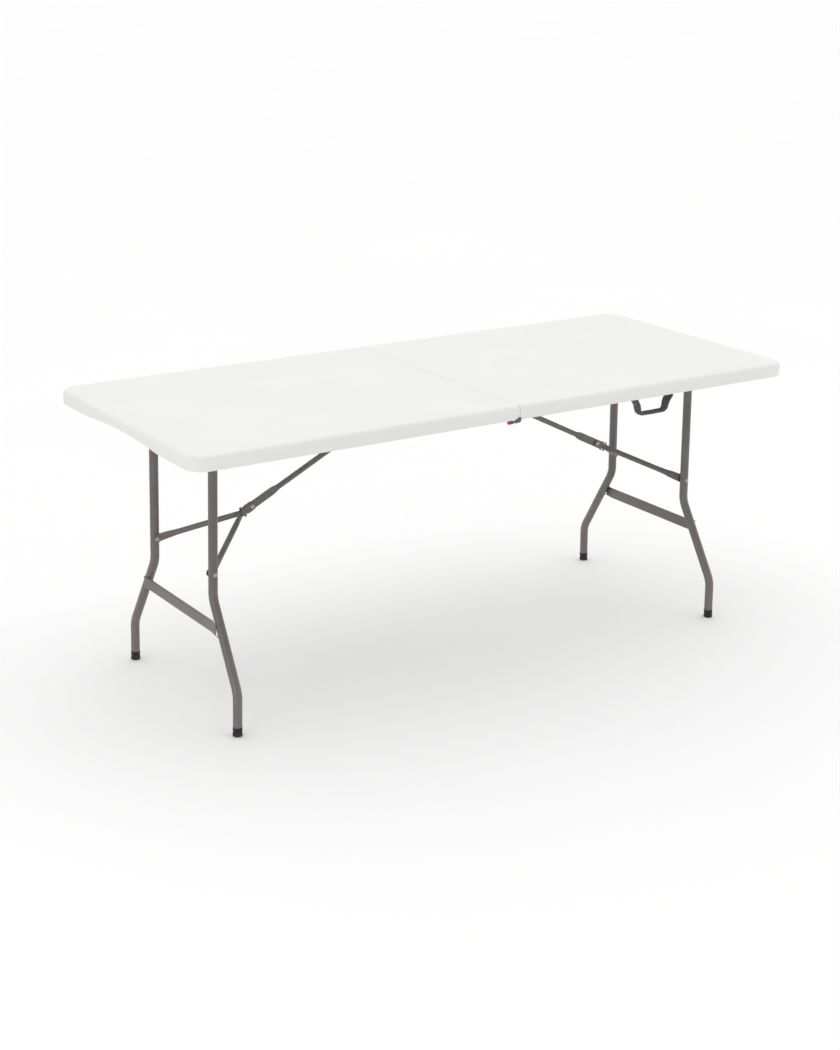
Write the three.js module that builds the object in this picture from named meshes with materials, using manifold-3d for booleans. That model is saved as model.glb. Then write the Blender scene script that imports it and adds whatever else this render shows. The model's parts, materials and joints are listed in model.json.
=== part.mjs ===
// Bi-fold folding table: a blow-moulded top in two hinged halves, two folding leg frames,
// a jointed stay with a Y-shaped brace on each frame, a carry handle and a seam latch.
// Millimetres, +Z up, origin on the floor under the middle of the top, +X along the length.
import * as THREE from 'three';
import { mergeVertices } from 'three/addons/utils/BufferGeometryUtils.js';
import Module from 'manifold-3d';

const wasm = await Module();
wasm.setup();

// ---- Driving dimensions ----
const gap = 0.3; // between faces that touch
const runningGap = 0.5; // between parts that move past each other
const overcut = 1; // how far a cutting tool passes through a face

// Tube sizes that set how deep the rim is
const tubeDiameter = 23; // of the legs
const capWall = 0.8; // of the foot caps
const plateHeight = 21.5; // of a flattened tube end

// Top
const tableLength = 1800;
const tableWidth = 750;
const tableHeight = 740;
const panelThickness = 10;
const stowClearance = 0.8; // the rim hides the folded frame and leaves this over
const rimWall = 18;
const cornerRadius = 48;
const edgeRadius = 9;
const seamGap = 1.2;
const seamLipWall = 12;
const seamLipDepth = 24;
const seamLipRailGap = 12.5; // from the rails' inner faces to the ends of the lip
const archHalfWidth = 190;
const archRise = 10;
const seamNotchLength = 30;
const seamNotchHeight = 8;

// Rails and centre hinges
const railWidth = 22;
const railWall = 1.6;
const railRimGap = 1.5;
const railFloorGap = 1; // rail's lower face above the rim's lower edge
const railSeamGap = 9;
const leafThickness = 2.2;
const leafLength = 70;
const leafHeight = 17;
const leafOffset = 6; // leaf's lower edge above the hinge axis
const hingeEarRadius = 8;
const hingeDrop = 1; // hinge axis below the rim's lower edge
const hingePinRadius = 3;
const hingeHeadRadius = 5.5;
const hingeHeadHeight = 2;

// Leg frames
const tubeWall = 1.2;
const pivotInset = 161.4; // legs' pivot axis in from the end of the top
const footSplay = 15.4; // feet further out than the pivot axis
const legTopInset = 216; // top of a leg in from the long side
const footInset = 91; // foot in from the long side
const upperBendHeight = 313.5;
const lowerBendHeight = 107.5;
const bendRadius = 65;
const capHeight = 23;
const capFloor = 4;
const capChamfer = 0.5;
const capChamferHeight = 2;
const spigotDiameter = 14;
const bushWall = 2;
const bushFlange = 1.2;
const stretcherHeight = 30;
const stretcherThickness = 6.2;
const stretcherTab = 1.2; // thickness of its flattened ends
const stretcherTabMargin = 15; // ends short of the leg's outer side
const stretcherTaper = 18; // length over which the band flattens into a tab
const stretcherZ = 245;

// Stay, brace and lock ring
const braceRivetHeight = 374.5;
const rivetRadius = 3;
const rivetHeadRadius = 6;
const rivetHeadHeight = 2.2;
const plateThickness = 3.2;
const armDiameter = 14.5;
const stayDiameter = 14;
const stayAnchorX = 45;
const stayAnchorDrop = 8.5; // anchor pin below the panel's underside
const stayEndRadius = 8;
const stayFlare = 66; // knee pin to the start of the flattened end
const stayFlareTaper = 22; // length over which the tube flattens into the flare
const stayHoleInset = 5.4; // tooling hole beyond the start of the flare
const stayTail = 22;
const stayTailChamfer = 5;
const earLength = 34; // knee pin to the fork of the brace
const earFlare = 6; // from the ring to where an ear is at its full height
const braceFootLength = 20;
const ringStart = 4; // fork of the brace to the ring
const ringWidth = 7;
const ringWall = 1.1;
const ringSlit = 5.4;
const bracketLength = 44;
const bracketWidth = 48;
const bracketThickness = 2;
const lugRadius = 9;
const lugEndMargin = 5; // bracket beyond the lugs on the stay's side

// Carry handle and seam latch
const handleX = 464; // middle of the handle from the seam
const handleTopWidth = 130;
const handleBottomWidth = 102;
const handleDrop = 62;
const handleCorner = 12;
const handleThickness = 9;
const handleTopDepth = 28;
const handleGripDepth = 17;
const handlePinRadius = 3;
const handleEyeRadius = 5.5;
const handlePivotRise = 3.5; // pivot above the rim's lower edge
const handleLugThickness = 5;
const handleLugWidth = 18;
const handleLugTopGap = 4; // lug's top below the rail's
const latchPlate = 4;
const latchInset = 3; // latch's front face in from the rim's outer face
const latchPinInset = 1; // the same for the end of the front hinge pin
const latchStrap = 4.4; // height of the tongue at the grip
const latchEyeRadius = 6.5;
const latchBend = 17; // hinge axis to where the tongue runs level
const latchReach = 30;
const gripLength = 15;
const gripHeight = 8.4;
const gripDepth = 8;
const gripRound = 3;
const gripOverhang = 4; // grip beyond the tongue's end

// ---- Derived places ----
const tubeRadius = tubeDiameter / 2;
const capBore = tubeRadius + gap;
const capRadius = capBore + capWall;
const rimDepth = panelThickness + Math.max(2 * capRadius, plateHeight) + stowClearance;
const underside = tableHeight - panelThickness;
const rimBottom = tableHeight - rimDepth;
const rimInnerY = tableWidth / 2 - rimWall;
const railY = rimInnerY - railRimGap - railWidth / 2;
const railInnerY = railY - railWidth / 2;
const railBottom = rimBottom + railFloorGap;
const railTop = underside - gap;
const railEndX = tableLength / 2 - Math.max(cornerRadius, rimWall) - gap;
const hingeZ = rimBottom - hingeDrop;
const pivotZ = (railBottom + railTop) / 2;
const legTopX = tableLength / 2 - pivotInset;
const legFootX = legTopX + footSplay;
const legTopY = tableWidth / 2 - legTopInset;
const legFootY = tableWidth / 2 - footInset;
const legTilt = Math.atan2(legFootX - legTopX, pivotZ);
const legLength = pivotZ / Math.cos(legTilt);
const alongLeg = (height) => (pivotZ - height) / Math.cos(legTilt);
const plateHalf = plateHeight / 2;
const braceFootY = legTopY - tubeRadius - gap - plateThickness / 2;
const earY = plateThickness + 2 * gap;
const stayAnchorZ = underside - stayAnchorDrop;

// ---- Colours and finishes ----
function finish(color, roughness, metalness) {
  return new THREE.MeshStandardMaterial({ color, roughness, metalness });
}

const whitePlastic = finish(0xf1f2ee, 0.55, 0);
const greyPaint = finish(0x6f6c68, 0.45, 0.3);
const brightSteel = finish(0xc4c5c6, 0.3, 1);
const blackRubber = finish(0x1e1e1f, 0.85, 0);
const blackPlastic = finish(0x38353a, 0.55, 0);
const redPlastic = finish(0x9c2f45, 0.45, 0);

// ---- Solids ----
function toSolid(geometry) {
  const bare = geometry.clone();
  bare.deleteAttribute('normal');
  bare.deleteAttribute('uv');
  const merged = mergeVertices(bare, 1e-4);
  return new wasm.Manifold(new wasm.Mesh({
    numProp: 3,
    vertProperties: new Float32Array(merged.attributes.position.array),
    triVerts: new Uint32Array(merged.index.array),
  }));
}

function toGeometry(solid) {
  const { vertProperties, triVerts } = solid.getMesh();
  const indexed = new THREE.BufferGeometry();
  indexed.setAttribute('position', new THREE.BufferAttribute(new Float32Array(vertProperties), 3));
  indexed.setIndex(new THREE.BufferAttribute(new Uint32Array(triVerts), 1));
  const flat = indexed.toNonIndexed();
  flat.computeVertexNormals();
  return flat;
}

// A box between two corners.
function box(low, high) {
  const size = high.map((value, axis) => value - low[axis]);
  const centre = high.map((value, axis) => (value + low[axis]) / 2);
  return toSolid(new THREE.BoxGeometry(...size).translate(...centre));
}

// An outline in X and Z, extruded from y = from to y = to.
function plateXZ(shape, from, to, curveSegments = 6) {
  const geometry = new THREE.ExtrudeGeometry(shape, { depth: to - from, bevelEnabled: false, curveSegments });
  return toSolid(geometry.rotateX(Math.PI / 2).translate(0, to, 0));
}

// A profile of [radius, y] points turned round the Y axis through (x, z).
function turnedY(profile, x, z, segments = 16) {
  const points = profile.map(([radius, y]) => new THREE.Vector2(radius, y));
  return toSolid(new THREE.LatheGeometry(points, segments).translate(x, 0, z));
}

function rodY(radius, from, to, x, z, segments = 16) {
  return turnedY([[0, from], [radius, from], [radius, to], [0, to]], x, z, segments);
}

// A domed rivet along Y: a head on each end of a shank, or on one end when other is false.
function rivetY(from, to, x, z, other = true) {
  const away = Math.sign(from - to) * rivetHeadHeight;
  const dome = (y, out) => [[rivetHeadRadius, y], [rivetHeadRadius * 0.75, y + out * 0.7], [0, y + out]];
  const profile = [...dome(from, away).reverse(), [rivetRadius, from], [rivetRadius, to]];
  const end = other ? dome(to, -away) : [[0, to]];
  const points = [...profile, ...end];
  return turnedY(away < 0 ? points : points.reverse(), x, z, 12);
}

// A closed skin through rings of points, each ring in the same turning sense.
function loft(rings) {
  const sides = rings[0].length;
  const positions = rings.flat().flatMap((point) => [point.x, point.y, point.z]);
  const triangles = [];
  for (let ring = 0; ring + 1 < rings.length; ring += 1) {
    for (let side = 0; side < sides; side += 1) {
      const next = (side + 1) % sides;
      const [a, b] = [ring * sides + side, ring * sides + next];
      triangles.push(a, b, b + sides, a, b + sides, a + sides);
    }
  }
  const last = (rings.length - 1) * sides;
  for (let side = 1; side + 1 < sides; side += 1) {
    triangles.push(0, side + 1, side, last, last + side, last + side + 1);
  }
  const geometry = new THREE.BufferGeometry();
  geometry.setAttribute('position', new THREE.Float32BufferAttribute(positions, 3));
  geometry.setIndex(triangles);
  const solid = toSolid(geometry);
  if (solid.volume() > 0) return solid;
  geometry.setIndex(triangles.reverse());
  return toSolid(geometry);
}

// A bar with a changing section. Each station is { at: Vector3, high, thick, square }: half height along
// `up`, half thickness across it, and how square the section is (1 round, towards 0 flat-sided).
function bar(stations, up, sides = 12) {
  const rings = stations.map((station, index) => {
    const before = stations[Math.max(index - 1, 0)].at;
    const after = stations[Math.min(index + 1, stations.length - 1)].at;
    const across = new THREE.Vector3().subVectors(after, before).cross(up).normalize();
    const ring = [];
    for (let side = 0; side < sides; side += 1) {
      const angle = ((side + 0.5) / sides) * 2 * Math.PI;
      const bulge = (value) => Math.sign(value) * Math.abs(value) ** station.square;
      ring.push(station.at.clone()
        .addScaledVector(up, station.high * bulge(Math.sin(angle)))
        .addScaledVector(across, station.thick * bulge(Math.cos(angle))));
    }
    return ring;
  });
  return loft(rings);
}

// A path with stations at the ends and round its bends only, for an extruded tube.
class BentPath extends THREE.Curve {
  constructor(corners, radius, arcSteps = 4) {
    super();
    this.stations = [{ at: corners[0], along: corners[1].clone().sub(corners[0]).normalize() }];
    for (let index = 1; index + 1 < corners.length; index += 1) {
      const into = corners[index].clone().sub(corners[index - 1]).normalize();
      const out = corners[index + 1].clone().sub(corners[index]).normalize();
      const turn = into.angleTo(out);
      const inset = radius * Math.tan(turn / 2);
      const start = corners[index].clone().addScaledVector(into, -inset);
      const inward = out.clone().addScaledVector(into, -out.dot(into)).normalize();
      for (let step = 0; step <= arcSteps; step += 1) {
        const angle = (turn * step) / arcSteps;
        this.stations.push({
          at: start.clone().addScaledVector(into, radius * Math.sin(angle))
            .addScaledVector(inward, radius * (1 - Math.cos(angle))),
          along: into.clone().multiplyScalar(Math.cos(angle)).addScaledVector(inward, Math.sin(angle)),
        });
      }
    }
    const end = corners.length - 1;
    this.stations.push({ at: corners[end], along: corners[end].clone().sub(corners[end - 1]).normalize() });
  }

  get steps() {
    return this.stations.length - 1;
  }

  getUtoTmapping(share) {
    return share;
  }

  getPoint(share) {
    return this.stations[Math.round(share * this.steps)].at.clone();
  }

  getTangent(share) {
    return this.stations[Math.round(share * this.steps)].along.clone();
  }
}

function bentRod(path, radius, sides = 16) {
  const disc = new THREE.Shape().absarc(0, 0, radius, 0, 2 * Math.PI);
  const options = { steps: path.steps, extrudePath: path, bevelEnabled: false, curveSegments: sides / 2 };
  return toSolid(new THREE.ExtrudeGeometry(disc, options));
}

const mirrorX = (solid) => solid.mirror([1, 0, 0]);
const mirrorY = (solid) => solid.mirror([0, 1, 0]);

// ---- Scene graph ----
const table = new THREE.Group();

function add(name, solid, material) {
  const mesh = new THREE.Mesh(toGeometry(solid), material);
  mesh.name = name;
  table.add(mesh);
}

// Builds one shape for the right-hand half and its mirror image for the left-hand half.
function addPair(name, solid, material) {
  add(`${name}_right`, solid, material);
  add(`${name}_left`, mirrorX(solid), material);
}

// The same for a piece that also has a front (-Y) and a rear (+Y) copy; solid is the rear one.
function addFour(name, solid, material) {
  addPair(`${name}_rear`, solid, material);
  addPair(`${name}_front`, mirrorY(solid), material);
}

// ---- Table top ----
function roundedRectangle(halfLength, halfWidth, radius) {
  const shape = new THREE.Shape();
  shape.absarc(halfLength - radius, halfWidth - radius, radius, 0, Math.PI / 2);
  shape.absarc(radius - halfLength, halfWidth - radius, radius, Math.PI / 2, Math.PI);
  shape.absarc(radius - halfLength, radius - halfWidth, radius, Math.PI, 1.5 * Math.PI);
  shape.absarc(halfLength - radius, radius - halfWidth, radius, 1.5 * Math.PI, 2 * Math.PI);
  return shape;
}

function wholeTop() {
  const outline = roundedRectangle(
    tableLength / 2 - edgeRadius, tableWidth / 2 - edgeRadius, cornerRadius - edgeRadius);
  const outside = new THREE.ExtrudeGeometry(outline, {
    depth: rimDepth - 2 * edgeRadius, bevelSize: edgeRadius, bevelThickness: edgeRadius,
    bevelSegments: 3, curveSegments: 5,
  });
  return toSolid(outside.translate(0, 0, rimBottom + edgeRadius));
}

// The end rims are arched along their lower edge.
function endArch() {
  const radius = (archHalfWidth ** 2 + archRise ** 2) / (2 * archRise);
  const half = Math.asin(archHalfWidth / radius);
  const shape = new THREE.Shape();
  shape.absarc(0, archRise - radius, radius, Math.PI / 2 - half, Math.PI / 2 + half);
  shape.lineTo(-archHalfWidth, -rimDepth);
  shape.lineTo(archHalfWidth, -rimDepth);
  const depth = 2 * rimWall;
  const geometry = new THREE.ExtrudeGeometry(shape, { depth, bevelEnabled: false, curveSegments: 10 });
  geometry.rotateX(Math.PI / 2).rotateZ(Math.PI / 2);
  return toSolid(geometry.translate(tableLength / 2 - 1.5 * rimWall, 0, rimBottom));
}

// Clearance in a long rim for the hinge pin and latch: round on the right-hand half,
// a long quarter of an ellipse on the left-hand half.
function seamNotch(length) {
  const shape = new THREE.Shape();
  shape.moveTo(length, -rimDepth);
  shape.lineTo(length, 0);
  shape.absellipse(length, seamNotchHeight, length, seamNotchHeight, 1.5 * Math.PI, Math.PI, true);
  shape.lineTo(-seamGap, seamNotchHeight);
  shape.lineTo(-seamGap, -rimDepth);
  return plateXZ(shape, rimInnerY - gap, tableWidth / 2 + gap).translate([0, 0, rimBottom]);
}

function topHalf(notchLength) {
  const pocketX = seamGap / 2 + seamLipWall;
  const pocketLength = tableLength / 2 - rimWall - pocketX;
  const pocketRadius = Math.max(cornerRadius - rimWall, edgeRadius);
  const pocketShape = roundedRectangle(pocketLength / 2, rimInnerY, pocketRadius);
  const pocketOptions = { depth: underside - rimBottom + gap, bevelEnabled: false, curveSegments: 4 };
  const pocket = toSolid(new THREE.ExtrudeGeometry(pocketShape, pocketOptions)
    .translate(pocketX + pocketLength / 2, 0, rimBottom - gap));
  const lipEnd = railInnerY - seamLipRailGap;
  const lipBottom = tableHeight - seamLipDepth;
  const cutEnd = pocketX + 2 * pocketRadius;
  const half = box([seamGap / 2, -tableWidth, 0], [tableLength, tableWidth, 2 * tableHeight]);
  const notch = seamNotch(notchLength);
  return wholeTop().intersect(half)
    .subtract(pocket)
    .subtract(box([-overcut, -lipEnd, rimBottom - overcut], [pocketX + overcut, lipEnd, lipBottom]))
    .subtract(box([-overcut, lipEnd, rimBottom - overcut], [cutEnd, rimInnerY, underside]))
    .subtract(box([-overcut, -rimInnerY, rimBottom - overcut], [cutEnd, -lipEnd, underside]))
    .subtract(endArch())
    .subtract(notch)
    .subtract(mirrorY(notch))
    .subtract(rodY(latchEyeRadius + 2 * runningGap, -tableWidth, tableWidth, 0, hingeZ));
}

add('tabletop_right', topHalf(hingeEarRadius + hingeDrop), whitePlastic);
add('tabletop_left', mirrorX(topHalf(seamNotchLength)), whitePlastic);

// ---- Side rails and pivot bushes ----
const bushRadius = spigotDiameter / 2 + runningGap + bushWall;

function sideRail() {
  const outer = box([railSeamGap, railInnerY, railBottom], [railEndX, railInnerY + railWidth, railTop]);
  const inner = box(
    [railSeamGap - overcut, railInnerY + railWall, railBottom + railWall],
    [railEndX + overcut, railInnerY + railWidth - railWall, railTop - railWall]);
  return outer.subtract(inner).subtract(
    rodY(bushRadius + gap, railInnerY - overcut, railInnerY + railWidth + overcut, legTopX, pivotZ));
}

function pivotBush() {
  const bore = spigotDiameter / 2 + runningGap;
  const [near, far] = [railInnerY - bushFlange - gap, railInnerY + railWidth];
  const profile = [
    [bore, near], [tubeRadius, near], [tubeRadius, railInnerY - gap],
    [bushRadius, railInnerY - gap], [bushRadius, far], [bore, far], [bore, near],
  ];
  return turnedY(profile, legTopX, pivotZ);
}

addFour('side_rail', sideRail(), greyPaint);
addFour('pivot_bush', pivotBush(), blackPlastic);

// ---- Centre hinges ----
function hingeOutline() {
  const shape = new THREE.Shape();
  shape.moveTo(hingeEarRadius + railSeamGap, leafOffset);
  shape.lineTo(railSeamGap + leafLength, leafOffset);
  shape.lineTo(railSeamGap + leafLength, leafOffset + leafHeight);
  shape.lineTo(railSeamGap + gap, leafOffset + leafHeight);
  shape.absarc(0, 0, hingeEarRadius, Math.PI * 0.6, Math.PI * 1.8);
  return shape;
}

// ear: 0 beside the rail, 1 one leaf further in, with a pad that reaches back to the rail.
function hingeLeaf(ear) {
  const face = railInnerY - gap - ear * (leafThickness + gap);
  const leaf = plateXZ(hingeOutline(), face - leafThickness, face);
  const padStart = hingeEarRadius + railSeamGap;
  const pad = box(
    [padStart, face - leafThickness / 2, leafOffset],
    [railSeamGap + leafLength, railInnerY - gap, leafOffset + leafHeight]);
  return (ear ? leaf.add(pad) : leaf)
    .translate([0, 0, hingeZ])
    .subtract(rodY(hingePinRadius + runningGap, 0, railInnerY + overcut, 0, hingeZ));
}

// The front pin runs on through the seam notches to carry the latch.
function hingePin(outerEnd) {
  const innerFace = railInnerY - 2 * (leafThickness + gap) - gap;
  const profile = [
    [0, innerFace - hingeHeadHeight], [hingeHeadRadius, innerFace - hingeHeadHeight],
    [hingeHeadRadius, innerFace], [hingePinRadius, innerFace], [hingePinRadius, outerEnd], [0, outerEnd],
  ];
  return turnedY(profile, 0, hingeZ);
}

for (const [side, flip] of [['rear', (solid) => solid], ['front', mirrorY]]) {
  add(`hinge_leaf_${side}_left`, flip(mirrorX(hingeLeaf(0))), greyPaint);
  add(`hinge_leaf_${side}_right`, flip(hingeLeaf(1)), greyPaint);
}
add('hinge_pin_rear', hingePin(railInnerY + railWidth / 2), brightSteel);
add('hinge_pin_front', mirrorY(hingePin(tableWidth / 2 - latchPinInset)), brightSteel);

// ---- Leg frames (built for the right-hand end) ----
// Leg space: origin on the pivot axis, -Z down the leg, +X outwards; legPlace tilts it into the table.
const degrees = 180 / Math.PI;
const legPlace = (solid) => solid.rotate([0, -legTilt * degrees, 0]).translate([legTopX, 0, pivotZ]);
const upperBend = alongLeg(upperBendHeight);
const lowerBend = alongLeg(lowerBendHeight);
const legPath = (end) => new BentPath([
  new THREE.Vector3(0, legTopY, 0),
  new THREE.Vector3(0, legTopY, -upperBend),
  new THREE.Vector3(0, legFootY, -lowerBend),
  new THREE.Vector3(0, legFootY, -end),
], bendRadius);
const tubeEnd = legLength - capFloor - gap;
const rivetAlong = alongLeg(braceRivetHeight);

function leg() {
  const tube = bentRod(legPath(tubeEnd), tubeRadius);
  const bore = bentRod(legPath(tubeEnd + overcut), tubeRadius - tubeWall, 12);
  const pivotClearance = rodY(tubeRadius + gap, 0, tableWidth / 2, 0, 0);
  const rivetHole = rodY(rivetRadius + gap, 0, tableWidth / 2, 0, -rivetAlong, 16);
  return legPlace(tube.subtract(bore).subtract(pivotClearance).subtract(rivetHole));
}

function footCap() {
  const profile = [
    [0, -capHeight / 2], [capRadius, -capHeight / 2], [capRadius, capHeight - capChamferHeight],
    [capRadius - capChamfer, capHeight], [capBore, capHeight], [capBore, capFloor], [0, capFloor],
  ].map(([radius, height]) => new THREE.Vector2(radius, height));
  const cap = toSolid(new THREE.LatheGeometry(profile, 20).rotateX(Math.PI / 2));
  const floor = box([0, 0, -tableHeight], [tableLength, tableWidth, 0]);
  return legPlace(cap.translate([0, legFootY, -legLength])).subtract(floor);
}

function pivotTube() {
  const shoulder = railInnerY - bushFlange - gap - runningGap;
  const swage = tubeRadius / 2;
  const spigot = spigotDiameter / 2;
  const end = railInnerY + railWidth - gap;
  const outside = [[spigot, end], [spigot, shoulder], [tubeRadius, shoulder - swage]];
  const inside = [
    [tubeRadius - tubeWall, shoulder - swage], [spigot - tubeWall, shoulder], [spigot - tubeWall, end],
  ];
  const flip = (points) => points.map(([radius, y]) => [radius, -y]).reverse();
  const profile = [...flip(outside), ...[...outside].reverse(), ...[...inside].reverse(), ...flip(inside)];
  return turnedY([...profile, profile[0]], legTopX, pivotZ);
}

// A band between the legs, set to their outer side so that the stay passes behind it when folded.
function stretcher() {
  const along = alongLeg(stretcherZ);
  const share = (along - upperBend) / (lowerBend - upperBend);
  const legY = legTopY + share * (legFootY - legTopY);
  const bandX = tubeRadius - (stretcherThickness + runningGap) / 2;
  const tabX = tubeRadius + gap + stretcherTab / 2;
  const station = (y, x, thick) => ({
    at: new THREE.Vector3(x, y, -along), high: stretcherHeight / 2, thick: thick / 2, square: 0.45,
  });
  const half = [
    station(legY + tubeRadius - stretcherTabMargin, tabX, stretcherTab),
    station(legY - tubeRadius, tabX, stretcherTab),
    station(legY - tubeRadius - stretcherTaper, bandX, stretcherThickness),
  ];
  const flip = half.map((one) => ({ ...one, at: one.at.clone().multiply(new THREE.Vector3(1, -1, 1)) }));
  const band = bar([...flip, ...half.reverse()], new THREE.Vector3(0, 0, 1));
  const clearance = bentRod(legPath(tubeEnd), tubeRadius + gap);
  return legPlace(band.subtract(clearance).subtract(mirrorY(clearance)));
}

// The half of the brace rivet that stays with the leg: outer head and shank.
const legRivet = () => legPlace(rivetY(
  legTopY + tubeRadius + gap, legTopY - tubeRadius, 0, -rivetAlong, false));

addFour('leg', leg(), greyPaint);
addFour('foot_cap', footCap(), blackRubber);
addFour('leg_rivet', legRivet(), brightSteel);
addPair('pivot_tube', pivotTube(), greyPaint);
addPair('stretcher', stretcher(), greyPaint);

// ---- Stay and brace (right-hand end, in the X-Z plane) ----
const legDown = new THREE.Vector2(Math.sin(legTilt), -Math.cos(legTilt));
const pivot = new THREE.Vector2(legTopX, pivotZ);
const anchor = new THREE.Vector2(stayAnchorX, stayAnchorZ);
const rivetOpen = pivot.clone().addScaledVector(legDown, rivetAlong);
const rivetFolded = new THREE.Vector2(legTopX - rivetAlong, pivotZ);
const reach = rivetOpen.distanceTo(anchor);

// Folded, the knee lies level with the leg's pivot; its X makes stay plus brace as long as the open reach.
function foldedKnee() {
  let [low, high] = [rivetFolded.x, legTopX];
  for (let step = 0; step < 60; step += 1) {
    const middle = new THREE.Vector2((low + high) / 2, pivotZ);
    if (middle.distanceTo(anchor) + middle.distanceTo(rivetFolded) < reach) low = middle.x;
    else high = middle.x;
  }
  return new THREE.Vector2(low, pivotZ);
}

const kneeFolded = foldedKnee();
const stayLength = kneeFolded.distanceTo(anchor);
const braceLength = kneeFolded.distanceTo(rivetFolded);
const braceAlong = anchor.clone().sub(rivetOpen).normalize(); // from the leg rivet to the knee
const knee = rivetOpen.clone().addScaledVector(braceAlong, braceLength);

// Brace space: +X from the leg rivet to the knee, +Z square to it. Points map into the table here.
const braceTurn = Math.atan2(braceAlong.y, braceAlong.x) * degrees;
const bracePlace = (solid) => solid.rotate([0, -braceTurn, 0]).translate([rivetOpen.x, 0, rivetOpen.y]);
const upright = new THREE.Vector3(0, 0, 1);
const plateStation = (x, y, high = plateHalf) => ({
  at: new THREE.Vector3(x, y, 0), high, thick: plateThickness / 2, square: 0.3,
});
const roundedEnd = [[1, 0.25], [0.85, 0.55], [0.5, 0.87]]; // shares of the radius outwards and of the height

function braceArm() {
  const radius = armDiameter / 2;
  const fork = braceLength - earLength;
  const foot = roundedEnd.map(([out, high]) => plateStation(-plateHalf * out, braceFootY, plateHalf * high));
  const ear = roundedEnd.map(
    ([out, high]) => plateStation(braceLength + plateHalf * out, earY, plateHalf * high));
  const start = new THREE.Vector3(braceFootLength / 2, braceFootY, 0);
  const end = new THREE.Vector3(fork, earY, 0);
  const tube = (share, high, thick, square) => ({ at: start.clone().lerp(end, share), high, thick, square });
  const arm = bar([
    ...foot, plateStation(0, braceFootY), plateStation(braceFootLength / 2, braceFootY),
    tube(0.18, radius * 1.12, radius * 0.82, 0.8), tube(0.28, radius, radius, 1),
    tube(0.8, radius, radius, 1), tube(0.9, radius, radius * 0.62, 0.75),
    plateStation(fork, earY, radius), plateStation(fork + ringStart + ringWidth, earY, radius),
    plateStation(fork + ringStart + ringWidth + earFlare, earY), plateStation(braceLength, earY),
    ...ear.reverse(),
  ], upright);
  const hole = (x, y) => rodY(rivetRadius + gap, y - plateThickness, y + plateThickness, x, 0, 16);
  return bracePlace(arm.subtract(hole(0, braceFootY)).subtract(hole(braceLength, earY)));
}

// The half of the brace rivet that stays with the arm: inner head and shank.
const armRivet = () => bracePlace(rivetY(
  braceFootY - plateThickness / 2 - gap, braceFootY + plateThickness / 2, 0, 0, false));
const kneeHead = earY + plateThickness / 2 + gap;
const kneeRivet = () => bracePlace(rivetY(-kneeHead, kneeHead, braceLength, 0));

// A split collar on the two ears; the split lets the stay's plate through when folded.
function lockRing() {
  const [y, z] = [earY + plateThickness / 2 + runningGap, plateHalf + runningGap];
  const start = braceLength - earLength + ringStart;
  const [before, end, after] = [start - overcut, start + ringWidth, start + ringWidth + overcut];
  const outer = box([start, -y - ringWall, -z - ringWall], [end, y + ringWall, z + ringWall]);
  const inner = box([before, -y, -z], [after, y, z]);
  const slit = box([before, -ringSlit / 2, z - overcut], [after, ringSlit / 2, z + ringWall + overcut]);
  return bracePlace(outer.subtract(inner).subtract(slit));
}

// The stay: a tube from the anchor bracket to the knee, flattened at both ends.
function stayBar() {
  const radius = stayDiameter / 2;
  const flare = stayLength - stayFlare;
  const tube = (x, high, thick, square) => ({ at: new THREE.Vector3(x, 0, 0), high, thick, square });
  const body = bar([
    ...roundedEnd.map(([out, high]) => plateStation(-stayEndRadius * out, 0, stayEndRadius * high)),
    plateStation(0, 0, stayEndRadius), plateStation(stayEndRadius * 2.2, 0, stayEndRadius),
    tube(stayEndRadius * 5, radius, radius, 1), tube(flare - stayFlareTaper, radius, radius, 1),
    plateStation(flare, 0), plateStation(stayLength + stayTail - stayTailChamfer, 0),
    plateStation(stayLength + stayTail, 0, plateHalf - stayTailChamfer),
  ], upright);
  const turn = Math.atan2(knee.y - anchor.y, knee.x - anchor.x) * degrees;
  const hole = (x, r) => rodY(r, -plateHeight, plateHeight, x, 0, 16);
  return body.subtract(hole(0, rivetRadius + gap)).subtract(hole(stayLength, rivetRadius + gap))
    .subtract(hole(flare + stayHoleInset, rivetRadius))
    .rotate([0, -turn, 0]).translate([anchor.x, 0, anchor.y]);
}

addFour('brace_arm', braceArm(), greyPaint);
addFour('arm_rivet', armRivet(), brightSteel);
addPair('knee_rivet', kneeRivet(), brightSteel);
addPair('lock_ring', lockRing(), greyPaint);
addPair('stay_bar', stayBar(), greyPaint);

// ---- Stay anchor under the panel ----
const lugInner = plateThickness / 2 + 2 * gap;

function stayBracket() {
  const top = underside - gap;
  const end = stayAnchorX + lugRadius + lugEndMargin;
  const base = box(
    [end - bracketLength, -bracketWidth / 2, top - bracketThickness], [end, bracketWidth / 2, top]);
  const slot = box(
    [stayAnchorX - lugRadius - lugEndMargin, -lugInner, top - bracketThickness - overcut],
    [end + overcut, lugInner, top + overcut]);
  const outline = new THREE.Shape();
  outline.absarc(stayAnchorX, stayAnchorZ, lugRadius, Math.PI, 2 * Math.PI);
  outline.lineTo(stayAnchorX + lugRadius, top - bracketThickness / 2);
  outline.lineTo(stayAnchorX - lugRadius, top - bracketThickness / 2);
  const lug = plateXZ(outline, lugInner, lugInner + bracketThickness);
  return base.subtract(slot).add(lug).add(mirrorY(lug))
    .subtract(rodY(rivetRadius + gap, -bracketWidth, bracketWidth, stayAnchorX, stayAnchorZ, 16));
}

const anchorHead = lugInner + bracketThickness + gap;
addPair('stay_bracket', stayBracket(), greyPaint);
addPair('anchor_pin', rivetY(-anchorHead, anchorHead, stayAnchorX, stayAnchorZ), brightSteel);

// ---- Carry handle, under the front rail of the right-hand half ----
const handleZ = rimBottom + handlePivotRise;
const handleY = -(railInnerY - gap - handleEyeRadius - runningGap);

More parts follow.
